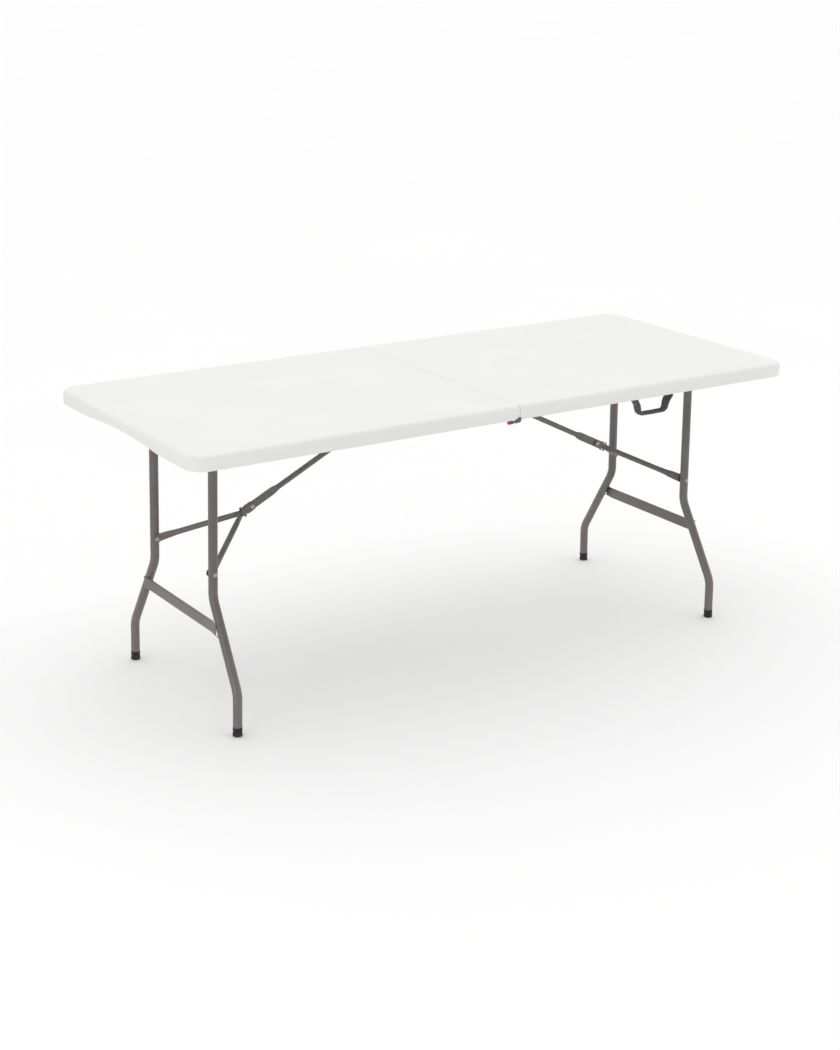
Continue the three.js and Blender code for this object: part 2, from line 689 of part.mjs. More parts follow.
function handleLoop() {
  const top = (handleTopWidth - handleThickness) / 2;
  const bottom = (handleBottomWidth - handleThickness) / 2;
  const low = -(handleDrop - handleThickness / 2);
  const shoulder = -handleEyeRadius * 1.4;
  const station = (x, z, depth) => ({
    at: new THREE.Vector3(x, 0, z), high: depth / 2, thick: handleThickness / 2, square: 0.55,
  });
  const corner = [0, 1, 2, 3].map((step) => {
    const angle = (step / 3) * (Math.PI / 2);
    const [inward, upward] = [1 - Math.cos(angle), 1 - Math.sin(angle)];
    return station(-bottom + handleCorner * inward, low + handleCorner * upward, handleGripDepth);
  });
  const left = [
    station(-top, handleEyeRadius, handleEyeRadius), station(-top, 0, handleEyeRadius * 2),
    station(-top, shoulder, handleEyeRadius * 2), station(-top, 2 * shoulder, handleTopDepth), ...corner,
  ];
  const right = left.map((one) => ({ ...one, at: one.at.clone().multiply(new THREE.Vector3(-1, 1, 1)) }));
  const loop = bar([...left, ...right.reverse()], new THREE.Vector3(0, 1, 0));
  const hole = toSolid(new THREE.CylinderGeometry(
    handlePinRadius + gap, handlePinRadius + gap, 2 * handleTopWidth, 16).rotateZ(Math.PI / 2));
  return loop.subtract(hole).translate([handleX, handleY, handleZ]);
}

// A lug on the rail's inner face, with the pin that the handle's eye turns on.
function handleLug() {
  const inner = handleTopWidth / 2 - handleThickness - runningGap;
  const lugTop = railTop - handleLugTopGap;
  const backFace = -railInnerY + gap;
  const post = box([inner - handleLugThickness, backFace, handleZ - handleEyeRadius],
    [inner, handleY + handleEyeRadius, lugTop]);
  const plate = box([inner - handleLugWidth, backFace, handleZ - handleEyeRadius / 2],
    [inner, backFace + handleLugThickness, lugTop]);
  const [pinStart, pinEnd] = [inner - overcut, inner + handleThickness + 2 * runningGap];
  const pin = toSolid(new THREE.CylinderGeometry(handlePinRadius, handlePinRadius, pinEnd - pinStart, 16)
    .rotateZ(Math.PI / 2).translate((pinStart + pinEnd) / 2, handleY, handleZ));
  return post.add(plate).add(pin);
}

add('carry_handle', handleLoop(), blackPlastic);
add('handle_lug_right', handleLug().translate([handleX, 0, 0]), blackPlastic);
add('handle_lug_left', mirrorX(handleLug()).translate([handleX, 0, 0]), blackPlastic);

// ---- Seam latch, on the front hinge pin under the left-hand half's rim ----
const gripZ = rimBottom - gap - gripHeight / 2;
const latchFace = -(tableWidth / 2 - latchInset);
const strapHalf = latchStrap / 2;

function latchTongue() {
  const level = gripZ - hingeZ;
  const shape = new THREE.Shape();
  shape.absarc(0, 0, latchEyeRadius, -0.6 * Math.PI, 0.6 * Math.PI);
  shape.quadraticCurveTo(-latchBend / 2, 0, -latchBend, level + strapHalf);
  shape.lineTo(-latchReach, level + strapHalf);
  shape.lineTo(-latchReach, level - strapHalf);
  shape.lineTo(-latchBend, level - strapHalf);
  shape.quadraticCurveTo(-latchBend / 2, -latchEyeRadius - strapHalf, -latchEyeRadius / 2, -latchEyeRadius);
  const pinHole = rodY(hingePinRadius + gap, -tableWidth / 2, 0, 0, hingeZ);
  return plateXZ(shape, latchFace, latchFace + latchPlate, 8).translate([0, 0, hingeZ]).subtract(pinHole);
}

function latchGrip() {
  const middle = [-latchReach + gripLength / 2 - gripOverhang, latchFace + latchPlate / 2, gripZ];
  const section = roundedRectangle(gripLength / 2, gripHeight / 2, gripRound);
  const tongueRoom = box(
    [-latchReach - gap, latchFace - gap, gripZ - strapHalf - 2 * gap],
    [0, latchFace + latchPlate + gap, gripZ + strapHalf + 2 * gap]);
  return plateXZ(section, -gripDepth / 2, gripDepth / 2, 5).translate(middle).subtract(tongueRoom);
}

add('latch_tongue', latchTongue(), greyPaint);
add('latch_grip', latchGrip(), redPlastic);

export default table;
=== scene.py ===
import json
import math

import bmesh
import bpy
from mathutils import Matrix, Vector


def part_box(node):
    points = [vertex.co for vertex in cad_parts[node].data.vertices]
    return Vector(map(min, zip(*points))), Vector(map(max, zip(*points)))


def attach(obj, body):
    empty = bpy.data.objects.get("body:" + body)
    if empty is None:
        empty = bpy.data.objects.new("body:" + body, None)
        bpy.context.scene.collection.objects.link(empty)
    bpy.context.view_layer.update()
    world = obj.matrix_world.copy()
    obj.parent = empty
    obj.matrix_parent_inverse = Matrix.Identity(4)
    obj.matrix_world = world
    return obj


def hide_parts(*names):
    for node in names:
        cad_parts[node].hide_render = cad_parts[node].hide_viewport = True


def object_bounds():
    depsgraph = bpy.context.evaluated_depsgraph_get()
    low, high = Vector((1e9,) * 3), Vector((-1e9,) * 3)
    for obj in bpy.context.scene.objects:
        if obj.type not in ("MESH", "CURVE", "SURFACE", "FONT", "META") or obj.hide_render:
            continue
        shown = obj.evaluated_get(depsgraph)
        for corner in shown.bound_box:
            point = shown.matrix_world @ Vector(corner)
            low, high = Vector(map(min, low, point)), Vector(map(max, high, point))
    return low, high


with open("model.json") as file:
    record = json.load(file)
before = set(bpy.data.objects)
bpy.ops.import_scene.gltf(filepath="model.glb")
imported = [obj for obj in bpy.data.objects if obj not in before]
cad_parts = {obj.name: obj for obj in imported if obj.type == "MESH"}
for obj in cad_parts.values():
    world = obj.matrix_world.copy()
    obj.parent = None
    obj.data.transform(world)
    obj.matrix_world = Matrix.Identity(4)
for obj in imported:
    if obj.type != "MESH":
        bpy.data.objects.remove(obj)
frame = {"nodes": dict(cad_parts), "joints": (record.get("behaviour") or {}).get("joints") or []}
cadLow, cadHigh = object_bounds()
joints = {joint["name"]: joint for joint in frame["joints"]}
print("frame loaded:", len(frame["nodes"]), "parts")

sides = {"right": 1, "left": -1}  # which way +X of the drawn piece points
rows = {"rear": 1, "front": -1}  # the same for +Y


class Wire:
    # a socket that can be used in sums with other sockets and numbers
    def __init__(self, finish, socket):
        self.finish, self.socket = finish, socket

    def maths(self, operation, first, second):
        return self.finish.node("ShaderNodeMath", {"operation": operation}, {0: first, 1: second})

    def __add__(self, other):
        return self.maths("ADD", self, other)

    def __radd__(self, other):
        return self.maths("ADD", other, self)

    def __mul__(self, other):
        return self.maths("MULTIPLY", self, other)


class Finish:
    # one material: every node comes from node(), and surface() closes it
    def __init__(self, name):
        self.material = bpy.data.materials.new(name)
        self.material.use_nodes = True
        self.tree = self.material.node_tree
        self.tree.nodes.clear()
        self.place = self.node("ShaderNodeTexCoord", output="Object")

    def node(self, kind, settings=None, inputs=None, output=0):
        made = self.tree.nodes.new(kind)
        for key, value in (settings or {}).items():
            if key == "stops":
                self.setStops(made.color_ramp, value)
            else:
                setattr(made, key, value)
        for key, value in (inputs or {}).items():
            if isinstance(value, Wire):
                self.tree.links.new(value.socket, made.inputs[key])
            else:
                made.inputs[key].default_value = value
        return Wire(self, made.outputs[output])

    def setStops(self, ramp, stops):
        while len(ramp.elements) < len(stops):
            ramp.elements.new(0.5)
        for element, (position, colour) in zip(ramp.elements, stops):
            element.position = position
            element.color = colour if len(colour) == 4 else (*colour, 1)

    def noise(self, scale, detail=3, roughness=0.5, place=None):
        inputs = {"Vector": place or self.place, "Scale": scale, "Detail": detail, "Roughness": roughness}
        return self.node("ShaderNodeTexNoise", None, inputs)

    def ramp(self, factor, *stops):
        # a grey ramp from (position, value) pairs
        greys = [(position, (value, value, value)) for position, value in stops]
        return self.node("ShaderNodeValToRGB", {"stops": greys}, {"Fac": factor})

    def stretched(self, scale):
        # the place, scaled by a different amount along each axis
        return self.node("ShaderNodeVectorMath", {"operation": "MULTIPLY"}, {0: self.place, 1: scale})

    def height(self):
        return self.node("ShaderNodeSeparateXYZ", None, {0: self.place}, "Z")

    def mix(self, factor, first, second):
        inputs = {0: factor, 6: self.opaque(first), 7: self.opaque(second)}
        return self.node("ShaderNodeMix", {"data_type": "RGBA"}, inputs, 2)

    def opaque(self, colour):
        return colour if isinstance(colour, Wire) or len(colour) == 4 else (*colour, 1)

    def bump(self, height, distance, strength=1.0, under=None):
        inputs = {"Height": height, "Distance": distance, "Strength": strength}
        if under:
            inputs["Normal"] = under
        return self.node("ShaderNodeBump", None, inputs)

    def surface(self, colour, roughness, normal, metallic=0.0, **plain):
        inputs = {
            "Base Color": colour, "Roughness": roughness, "Normal": normal, "Metallic": metallic, **plain}
        shader = self.node("ShaderNodeBsdfPrincipled", None, inputs)
        target = self.tree.nodes.new("ShaderNodeOutputMaterial")
        self.tree.links.new(shader.socket, target.inputs["Surface"])
        return self.material


polyethylene = {
    "white": (0.80, 0.803, 0.79), "warm": (0.785, 0.782, 0.76), "scuffed": (0.73, 0.73, 0.72),
    "grain": 620, "ripple": 26, "roughness": 0.46,
}


def makePolyethylene():
    finish = Finish("whitePolyethylene")
    cloud = finish.noise(5, 2)
    tone = finish.mix(finish.ramp(cloud, (0.35, 0), (0.7, 1)), polyethylene["white"], polyethylene["warm"])
    streaks = finish.noise(9, 4, 0.6, finish.stretched((1, 14, 1)))
    scuffs = finish.ramp(streaks, (0.66, 0), (0.8, 0.35))
    colour = finish.mix(scuffs, tone, polyethylene["scuffed"])
    pebbles = finish.node(
        "ShaderNodeTexVoronoi", {"feature": "SMOOTH_F1"},
        {"Vector": finish.place, "Scale": polyethylene["grain"], "Smoothness": 0.6})
    pores = finish.noise(polyethylene["grain"] * 2.2, 2)
    grain = finish.bump(pebbles * 0.7 + pores * 0.3, 0.00016, 0.55)
    ripple = finish.bump(finish.noise(polyethylene["ripple"], 2, 0.4), 0.0012, 0.05, grain)
    roughness = polyethylene["roughness"] + scuffs * 0.25 + finish.noise(160, 2) * 0.1
    return finish.surface(colour, roughness, ripple, **{"Specular IOR Level": 0.4})


powderCoat = {
    "grey": (0.152, 0.136, 0.124), "dark": (0.116, 0.103, 0.094), "chip": (0.3, 0.285, 0.27),
    "lighterLow": (0.2, 0.19, 0.165), "peel": 420, "roughness": 0.3,
}


def makePowderCoat():
    finish = Finish("greyPowderCoat")
    cloud = finish.ramp(finish.noise(14, 3), (0.3, 0), (0.75, 1))
    tone = finish.mix(cloud, powderCoat["dark"], powderCoat["grey"])
    # the frame's colour turns lighter and more olive towards the bottom: from 0.45 m down to 0.1 m it is
    # mixed up to 0.55 of the way to the lighter tone
    low = finish.node(
        "ShaderNodeMapRange", None,
        {"Value": finish.height(), "From Min": 0.1, "From Max": 0.45, "To Min": 0.55, "To Max": 0})
    lighterLow = finish.mix(low, tone, powderCoat["lighterLow"])
    flecks = finish.ramp(finish.noise(1900, 1), (0.62, 0), (0.7, 0.5))
    speckled = finish.mix(flecks, lighterLow, powderCoat["chip"])
    rubbed = finish.ramp(finish.noise(46, 6, 0.75), (0.68, 0), (0.76, 0.7))
    colour = finish.mix(rubbed * 0.35, speckled, powderCoat["chip"])
    peel = finish.bump(finish.noise(powderCoat["peel"], 2, 0.4), 0.00022, 0.4)
    roughness = powderCoat["roughness"] + rubbed * 0.2 + finish.noise(90, 2) * 0.08
    return finish.surface(colour, roughness, peel, 0.35, **{"Specular IOR Level": 0.55})


zinc = {"bright": (0.5, 0.5, 0.5), "dull": (0.3, 0.3, 0.31), "roughness": 0.2}


def makeZinc():
    finish = Finish("zincPlate")
    spangle = finish.node(
        "ShaderNodeTexVoronoi", None, {"Vector": finish.place, "Scale": 900}, "Distance")
    colour = finish.mix(finish.ramp(spangle, (0.1, 0), (0.7, 1)), zinc["bright"], zinc["dull"])
    turned = finish.noise(1300, 3, 0.6, finish.stretched((1, 0.2, 1)))
    roughness = zinc["roughness"] + turned * 0.18
    return finish.surface(colour, roughness, finish.bump(turned, 0.00008, 0.4), 1.0)


rubber = {"black": (0.018, 0.018, 0.019), "dusty": (0.085, 0.08, 0.074), "dustTop": 0.014}


def makeRubber():
    finish = Finish("footRubber")
    low = finish.node(
        "ShaderNodeMapRange", None,
        {"Value": finish.height(), "From Min": 0.0, "From Max": rubber["dustTop"], "To Min": 1, "To Max": 0})
    dust = low * finish.ramp(finish.noise(230, 4, 0.7), (0.35, 0), (0.7, 1))
    colour = finish.mix(dust * 0.6, rubber["black"], rubber["dusty"])
    skin = finish.bump(finish.noise(900, 3, 0.6), 0.00012, 0.5)
    return finish.surface(colour, 0.62 + dust * 0.25, skin, **{"Specular IOR Level": 0.35})


charcoal = {"dark": (0.05, 0.045, 0.055), "light": (0.068, 0.062, 0.072), "grain": 1100}


def makeCharcoalPlastic():
    finish = Finish("charcoalPlastic")
    cloud = finish.ramp(finish.noise(60, 3), (0.35, 0), (0.7, 1))
    colour = finish.mix(cloud, charcoal["dark"], charcoal["light"])
    leather = finish.node(
        "ShaderNodeTexVoronoi", {"feature": "SMOOTH_F1"},
        {"Vector": finish.place, "Scale": charcoal["grain"], "Smoothness": 0.4})
    return finish.surface(colour, 0.42 + leather * 0.2, finish.bump(leather, 0.00012, 0.45))


redPlastic = {"bright": (0.36, 0.035, 0.085), "deep": (0.24, 0.02, 0.05)}


def makeRedPlastic():
    finish = Finish("redPlastic")
    colour = finish.mix(finish.ramp(finish.noise(120, 3), (0.35, 0), (0.7, 1)),
                        redPlastic["deep"], redPlastic["bright"])
    skin = finish.noise(1400, 2)
    return finish.surface(colour, 0.3 + skin * 0.15, finish.bump(skin, 0.00006, 0.4))


floorPaint = {"pale": (0.93, 0.93, 0.925), "shade": (0.9, 0.9, 0.9)}


def makeFloorPaint():
    finish = Finish("floorPaint")
    colour = finish.mix(finish.noise(0.7, 2), floorPaint["pale"], floorPaint["shade"])
    return finish.surface(colour, 0.9, finish.bump(finish.noise(300, 2), 0.0001, 0.1))


finishes = {
    "top_plastic": makePolyethylene(),
    "frame_paint": makePowderCoat(),
    "steel": makeZinc(),
    "foot_rubber": makeRubber(),
    "dark_plastic": makeCharcoalPlastic(),
    "red_plastic": makeRedPlastic(),
}
print("finishes ready:", ", ".join(finishes))


class Form:
    # vertices and faces of a piece while it is being drawn
    def __init__(self):
        self.points, self.faces = [], []

    def ring(self, points):
        start = len(self.points)
        self.points.extend(Vector(point) for point in points)
        return list(range(start, len(self.points)))

    def strip(self, first, second, closed=True):
        count = len(first)
        for here in range(count if closed else count - 1):
            after = (here + 1) % count
            self.faces.append((first[here], first[after], second[after], second[here]))

    def cap(self, ring):
        self.faces.append(tuple(ring))

    def loft(self, rings, capped=True, looped=False):
        made = [self.ring(points) for points in rings]
        for first, second in zip(made, made[1:] + made[:1] if looped else made[1:]):
            self.strip(first, second)
        if capped and not looped:
            self.cap(made[0])
            self.cap(made[-1])
        return self

    def add(self, other):
        start = len(self.points)
        self.points.extend(other.points)
        self.faces.extend(tuple(index + start for index in face) for face in other.faces)
        return self

    def placed(self, change):
        moved = Form()
        moved.points = [change(point) for point in self.points]
        moved.faces = list(self.faces)
        return moved

    def mirrored(self, alongX, alongY=1):
        return self.placed(lambda point: Vector((point.x * alongX, point.y * alongY, point.z)))


# The form as a mesh, with its points merged and its faces turned outwards.
def makeMesh(name, form):
    mesh = bpy.data.meshes.new(name)
    mesh.from_pydata(form.points, [], form.faces)
    work = bmesh.new()
    work.from_mesh(mesh)
    bmesh.ops.remove_doubles(work, verts=work.verts, dist=1e-6)
    bmesh.ops.recalc_face_normals(work, faces=work.faces)
    work.to_mesh(mesh)
    work.free()
    return mesh


def addPiece(name, form, body, slot, replaced=(), sharp=38):
    return showMesh(name, makeMesh(name, form), body, slot, replaced, sharp)


def showMesh(name, mesh, body, slot, replaced, sharp):
    mesh.shade_smooth()
    mesh.set_sharp_from_angle(angle=math.radians(sharp))
    mesh.materials.clear()
    mesh.materials.append(finishes[slot])
    piece = bpy.data.objects.new(name, mesh)
    bpy.context.scene.collection.objects.link(piece)
    if replaced:
        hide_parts(*replaced)
    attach(piece, body)
    return piece


def cutHole(piece, form):
    cutter = bpy.data.objects.new("cutter", makeMesh("cutter", form))
    bpy.context.scene.collection.objects.link(cutter)
    cut = piece.modifiers.new("hole", "BOOLEAN")
    cut.operation, cut.object, cut.solver = "DIFFERENCE", cutter, "EXACT"
    bpy.context.view_layer.update()
    result = bpy.data.meshes.new_from_object(piece.evaluated_get(bpy.context.evaluated_depsgraph_get()))
    piece.modifiers.clear()
    piece.data = result
    bpy.data.objects.remove(cutter)


# A flat-sided CAD part kept in shape, with its sharp edges eased.
def easeEdges(node, body, slot, width=0.0004, segments=2):
    work = bmesh.new()
    work.from_mesh(frame["nodes"][node].data)
    bmesh.ops.remove_doubles(work, verts=work.verts, dist=1e-6)
    flat = math.radians(1)
    bmesh.ops.dissolve_limit(work, angle_limit=flat, verts=work.verts, edges=work.edges)
    crisp = [edge for edge in work.edges if edge.is_manifold and edge.calc_face_angle(0) > math.radians(40)]
    bmesh.ops.bevel(work, geom=crisp, offset=width, segments=segments, profile=0.5, affect="EDGES",
                    clamp_overlap=True, loop_slide=True)
    mesh = bpy.data.meshes.new(node + "_eased")
    work.to_mesh(mesh)
    work.free()
    return showMesh(node + "_eased", mesh, body, slot, [node], 38)


def roundSection(high, thick, square, count):
    # points of a rounded outline: square 1 is an ellipse, towards 0 it is flat-sided
    section = []
    for step in range(count):
        angle = (step + 0.5) / count * 2 * math.pi
        sine, cosine = math.sin(angle), math.cos(angle)
        section.append((thick * math.copysign(abs(cosine) ** square, cosine),
                        high * math.copysign(abs(sine) ** square, sine)))
    return section


# A bar whose section changes along it. Stations are (point, high, thick, square), eased in between.
def makeBar(stations, up, count=32, steps=6):
    eased = [stations[0]]
    for before, after in zip(stations, stations[1:]):
        near = (after[0] - before[0]).length < 0.004
        for step in range(1, (2 if near else steps) + 1):
            share = step / (2 if near else steps)
            blend = share * share * (3 - 2 * share)
            values = [low + (high - low) * blend for low, high in zip(before[1:], after[1:])]
            eased.append((before[0].lerp(after[0], share), *values))
    rings = []
    for index, (point, high, thick, square) in enumerate(eased):
        ahead = eased[min(index + 1, len(eased) - 1)][0] - eased[max(index - 1, 0)][0]
        across = ahead.cross(up).normalized()
        rings.append([point + across * a + up * b for a, b in roundSection(high, thick, square, count)])
    return Form().loft(rings)


def bendPath(corners, radius, arcSteps):
    path = [corners[0]]
    for before, corner, after in zip(corners, corners[1:], corners[2:]):
        into, out = (corner - before).normalized(), (after - corner).normalized()
        turn = into.angle(out)
        start = corner - into * radius * math.tan(turn / 2)
        inward = (out - into * out.dot(into)).normalized()
        for step in range(arcSteps + 1):
            angle = turn * step / arcSteps
            path.append(start + into * radius * math.sin(angle) + inward * radius * (1 - math.cos(angle)))
    return path + [corners[-1]]


# A round rod along a path; looped joins its ends.
def makeRod(path, radius, count=32, looped=False):
    rings = []
    across = None
    for index, point in enumerate(path):
        if looped:
            ahead = path[(index + 1) % len(path)] - path[index - 1]
        else:
            ahead = path[min(index + 1, len(path) - 1)] - path[max(index - 1, 0)]
        ahead.normalize()
        if across is None:
            across = ahead.orthogonal().normalized()
        across = (across - ahead * across.dot(ahead)).normalized()
        other = ahead.cross(across)
        rings.append([
            point + (across * math.cos(angle) + other * math.sin(angle)) * radius
            for angle in (step / count * 2 * math.pi for step in range(count))])
    return Form().loft(rings, looped=looped)


# A profile of (radius, distance) points turned round an axis from a starting point.
def turned(profile, start, axis, count=40, closed=False):
    axis = Vector(axis).normalized()
    across = axis.orthogonal().normalized()
    other = axis.cross(across)
    rings = []
    for radius, distance in profile:
        rings.append([
            start + axis * distance + (across * math.cos(angle) + other * math.sin(angle)) * radius
            for angle in (step / count * 2 * math.pi for step in range(count))])
    return Form().loft(rings, capped=not closed, looped=closed)


def arcPoints(centre, radius, fromDegrees, toDegrees, steps):
    angles = [math.radians(fromDegrees + (toDegrees - fromDegrees) * step / steps)
              for step in range(steps + 1)]
    return [(centre[0] + radius * math.cos(angle), centre[1] + radius * math.sin(angle)) for angle in angles]


# Puts a form drawn in its own X, Y, Z at a place in the table, with its X along a direction in X and Z.
def alongPlace(origin, along):
    xAxis = Vector((along.x, 0, along.z)).normalized()
    zAxis = Vector((-xAxis.z, 0, xAxis.x))
    return lambda point: origin + xAxis * point.x + Vector((0, point.y, 0)) + zAxis * point.z


camera = {
    "place": Vector((-2.692, -3.9615, 1.9243)), "heading": 33.7747, "dip": 18.4863, "roll": 0.768,
    "lens": 64.37,
}


def makeCamera():
    heading, dip, roll = (math.radians(camera[key]) for key in ("heading", "dip", "roll"))
    ahead = Vector((math.sin(heading) * math.cos(dip), math.cos(heading) * math.cos(dip), -math.sin(dip)))
    level = ahead.cross(Vector((0, 0, 1))).normalized()
    above = level.cross(ahead)
    right = level * math.cos(roll) + above * math.sin(roll)
    up = above * math.cos(roll) - level * math.sin(roll)
    lens = bpy.data.cameras.new("camera")
    lens.lens = camera["lens"]
    lens.sensor_width = 36
    lens.clip_end = 200
    made = bpy.data.objects.new("camera", lens)
    turn = Matrix((right, up, -ahead)).transposed().to_4x4()
    made.matrix_world = Matrix.Translation(camera["place"]) @ turn
    bpy.context.scene.collection.objects.link(made)
    bpy.context.scene.camera = made


studio = {
    "sky": 0.70, "sun": 1.28, "sunSpread": 110, "sunTurn": (-22, 10),
    "lamps": [  # name, place, width, height, power
        ("rightLamp", (3.8, -2.6, 1.3), 2.4, 2.4, 14),
        ("leftStrip", (-3.4, -1.6, 0.9), 0.4, 1.8, 9),
    ],
    "aim": Vector((0, 0, 0.6)),
    "floorHalf": 60,
}


def makeStudio():
    world = bpy.data.worlds.new("studioSky")
    world.use_nodes = True
    world.node_tree.nodes["Background"].inputs["Color"].default_value = (1, 1, 1, 1)
    world.node_tree.nodes["Background"].inputs["Strength"].default_value = studio["sky"]
    bpy.context.scene.world = world
    for name, place, width, height, power in studio["lamps"]:
        light = bpy.data.lights.new(name, "AREA")
        light.shape, light.size, light.size_y, light.energy = "RECTANGLE", width, height, power
        lamp = bpy.data.objects.new(name, light)
        lamp.location = place
        lamp.rotation_euler = (studio["aim"] - Vector(place)).to_track_quat("-Z", "Y").to_euler()
        bpy.context.scene.collection.objects.link(lamp)
    light = bpy.data.lights.new("overheadSun", "SUN")
    light.energy, light.angle = studio["sun"], math.radians(studio["sunSpread"])
    sun = bpy.data.objects.new("overheadSun", light)
    sun.rotation_euler = (*(math.radians(angle) for angle in studio["sunTurn"]), 0)
    bpy.context.scene.collection.objects.link(sun)
    half = studio["floorHalf"]
    mesh = bpy.data.meshes.new("floor")
    corners = [(x * half, y * half, 0) for x, y in ((-1, -1), (1, -1), (1, 1), (-1, 1))]
    mesh.from_pydata(corners, [], [(0, 1, 2, 3)])
    mesh.materials.append(makeFloorPaint())
    floor = bpy.data.objects.new("floor", mesh)
    bpy.context.scene.collection.objects.link(floor)


makeCamera()
makeStudio()
bpy.context.scene.view_settings.view_transform = "Standard"
print("camera and studio ready")


top = {
    "panel": 0.010, "rim": 0.036, "rimWall": 0.018, "corner": 0.048, "seamFace": 0.0006,
    "topRound": 0.012, "footRound": 0.004, "innerRound": 0.003, "fillet": 0.004, "seamRound": 0.0016,
    "archHalf": 0.190, "archRise": 0.010, "archEase": 0.02,
    "notchHeight": 0.008, "notchRight": 0.009, "notchLeft": 0.030, "eyeRoom": 0.0075,
    "pitch": 0.036, "dimple": 0.024, "slope": 0.005, "dimpleDepth": 0.0038, "dimpleLimitY": 0.318,
    "padX": 0.085, "padY": 0.045,
    "lipWall": 0.012, "lipDepth": 0.024, "lipEnd": 0.321,
    "lipRound": 0.003, "lipEase": 0.002, "lipInto": 0.002,
}
tableHeight, halfLength, halfWidth = cadHigh.z, cadHigh.x, cadHigh.y
rimBottom = tableHeight - top["rim"]
underside = tableHeight - top["panel"]
hingeAxis = Vector(joints["half_fold"]["pos_m"])


# The rim's section as (inset from the outer face, z, inset normal, up normal, moves with the lower edge).
def rimSection():
    wall = top["rimWall"]
    section = []

    def arc(centre, radius, start, end, steps, lower, outward=1):
        for inset, z in arcPoints(centre, radius, start, end, steps):
            normal = ((inset - centre[0]) / radius * outward, (z - centre[1]) / radius * outward)
            section.append((inset, z, *normal, lower))

    fillet, inner, foot, roll = top["fillet"], top["innerRound"], top["footRound"], top["topRound"]
    arc((wall + fillet, underside - fillet), fillet, 90, 180, 4, False, -1)
    arc((wall - inner, rimBottom + inner), inner, 0, -90, 4, True)
    arc((foot, rimBottom + foot), foot, -90, -180, 5, True)
    arc((roll, tableHeight - roll), roll, 180, 90, 9, False)
    return section


def archLift(y):
    radius = (top["archHalf"] ** 2 + top["archRise"] ** 2) / (2 * top["archRise"])
    if abs(y) >= top["archHalf"] + top["archEase"]:
        return 0.0
    lift = math.sqrt(radius ** 2 - y ** 2) - (radius - top["archRise"])
    ease = top["archEase"] * top["archHalf"] / radius / 2
    return max(0.0, (lift + math.sqrt(lift ** 2 + ease ** 2)) / 2)


def notchLift(x, length):
    # x from the seam; the lower corner of the long rim is rounded off and clears the latch's eye
    lift = 0.0
    if x < length:
        lift = top["notchHeight"] * (1 - math.sqrt(1 - ((length - x) / length) ** 2))
    if x < top["eyeRoom"]:
        lift = max(lift, math.sqrt(top["eyeRoom"] ** 2 - x ** 2) - (rimBottom - hingeAxis.z))
    return lift


def waffleLines(low, high):
    # grid lines at each dimple's brim and floor, from low to high
    count = int((high - low) / top["pitch"])
    start = (low + high - count * top["pitch"]) / 2
    half, slope = top["dimple"] / 2, top["slope"]
    lines = []
    for cell in range(count):
        middle = start + (cell + 0.5) * top["pitch"]
        lines += [middle - half, middle - half + slope, middle + half - slope, middle + half]
    return lines


def dimpleShare(value, lines):
    # 1 between a dimple's two floor lines, 0 outside its brim
    for index in range(0, len(lines), 4):
        near, far = lines[index + 1:index + 3]
        if near - 1e-6 <= value <= far + 1e-6:
            return 1.0
    return 0.0


def seamShrink(x):
    # how far the rounding next to the seam face draws the surface in
    seam, rounding = top["seamFace"], top["seamRound"]
    if x >= seam + rounding:
        return 0.0
    return rounding - math.sqrt(max(rounding ** 2 - (rounding - (x - seam)) ** 2, 0))


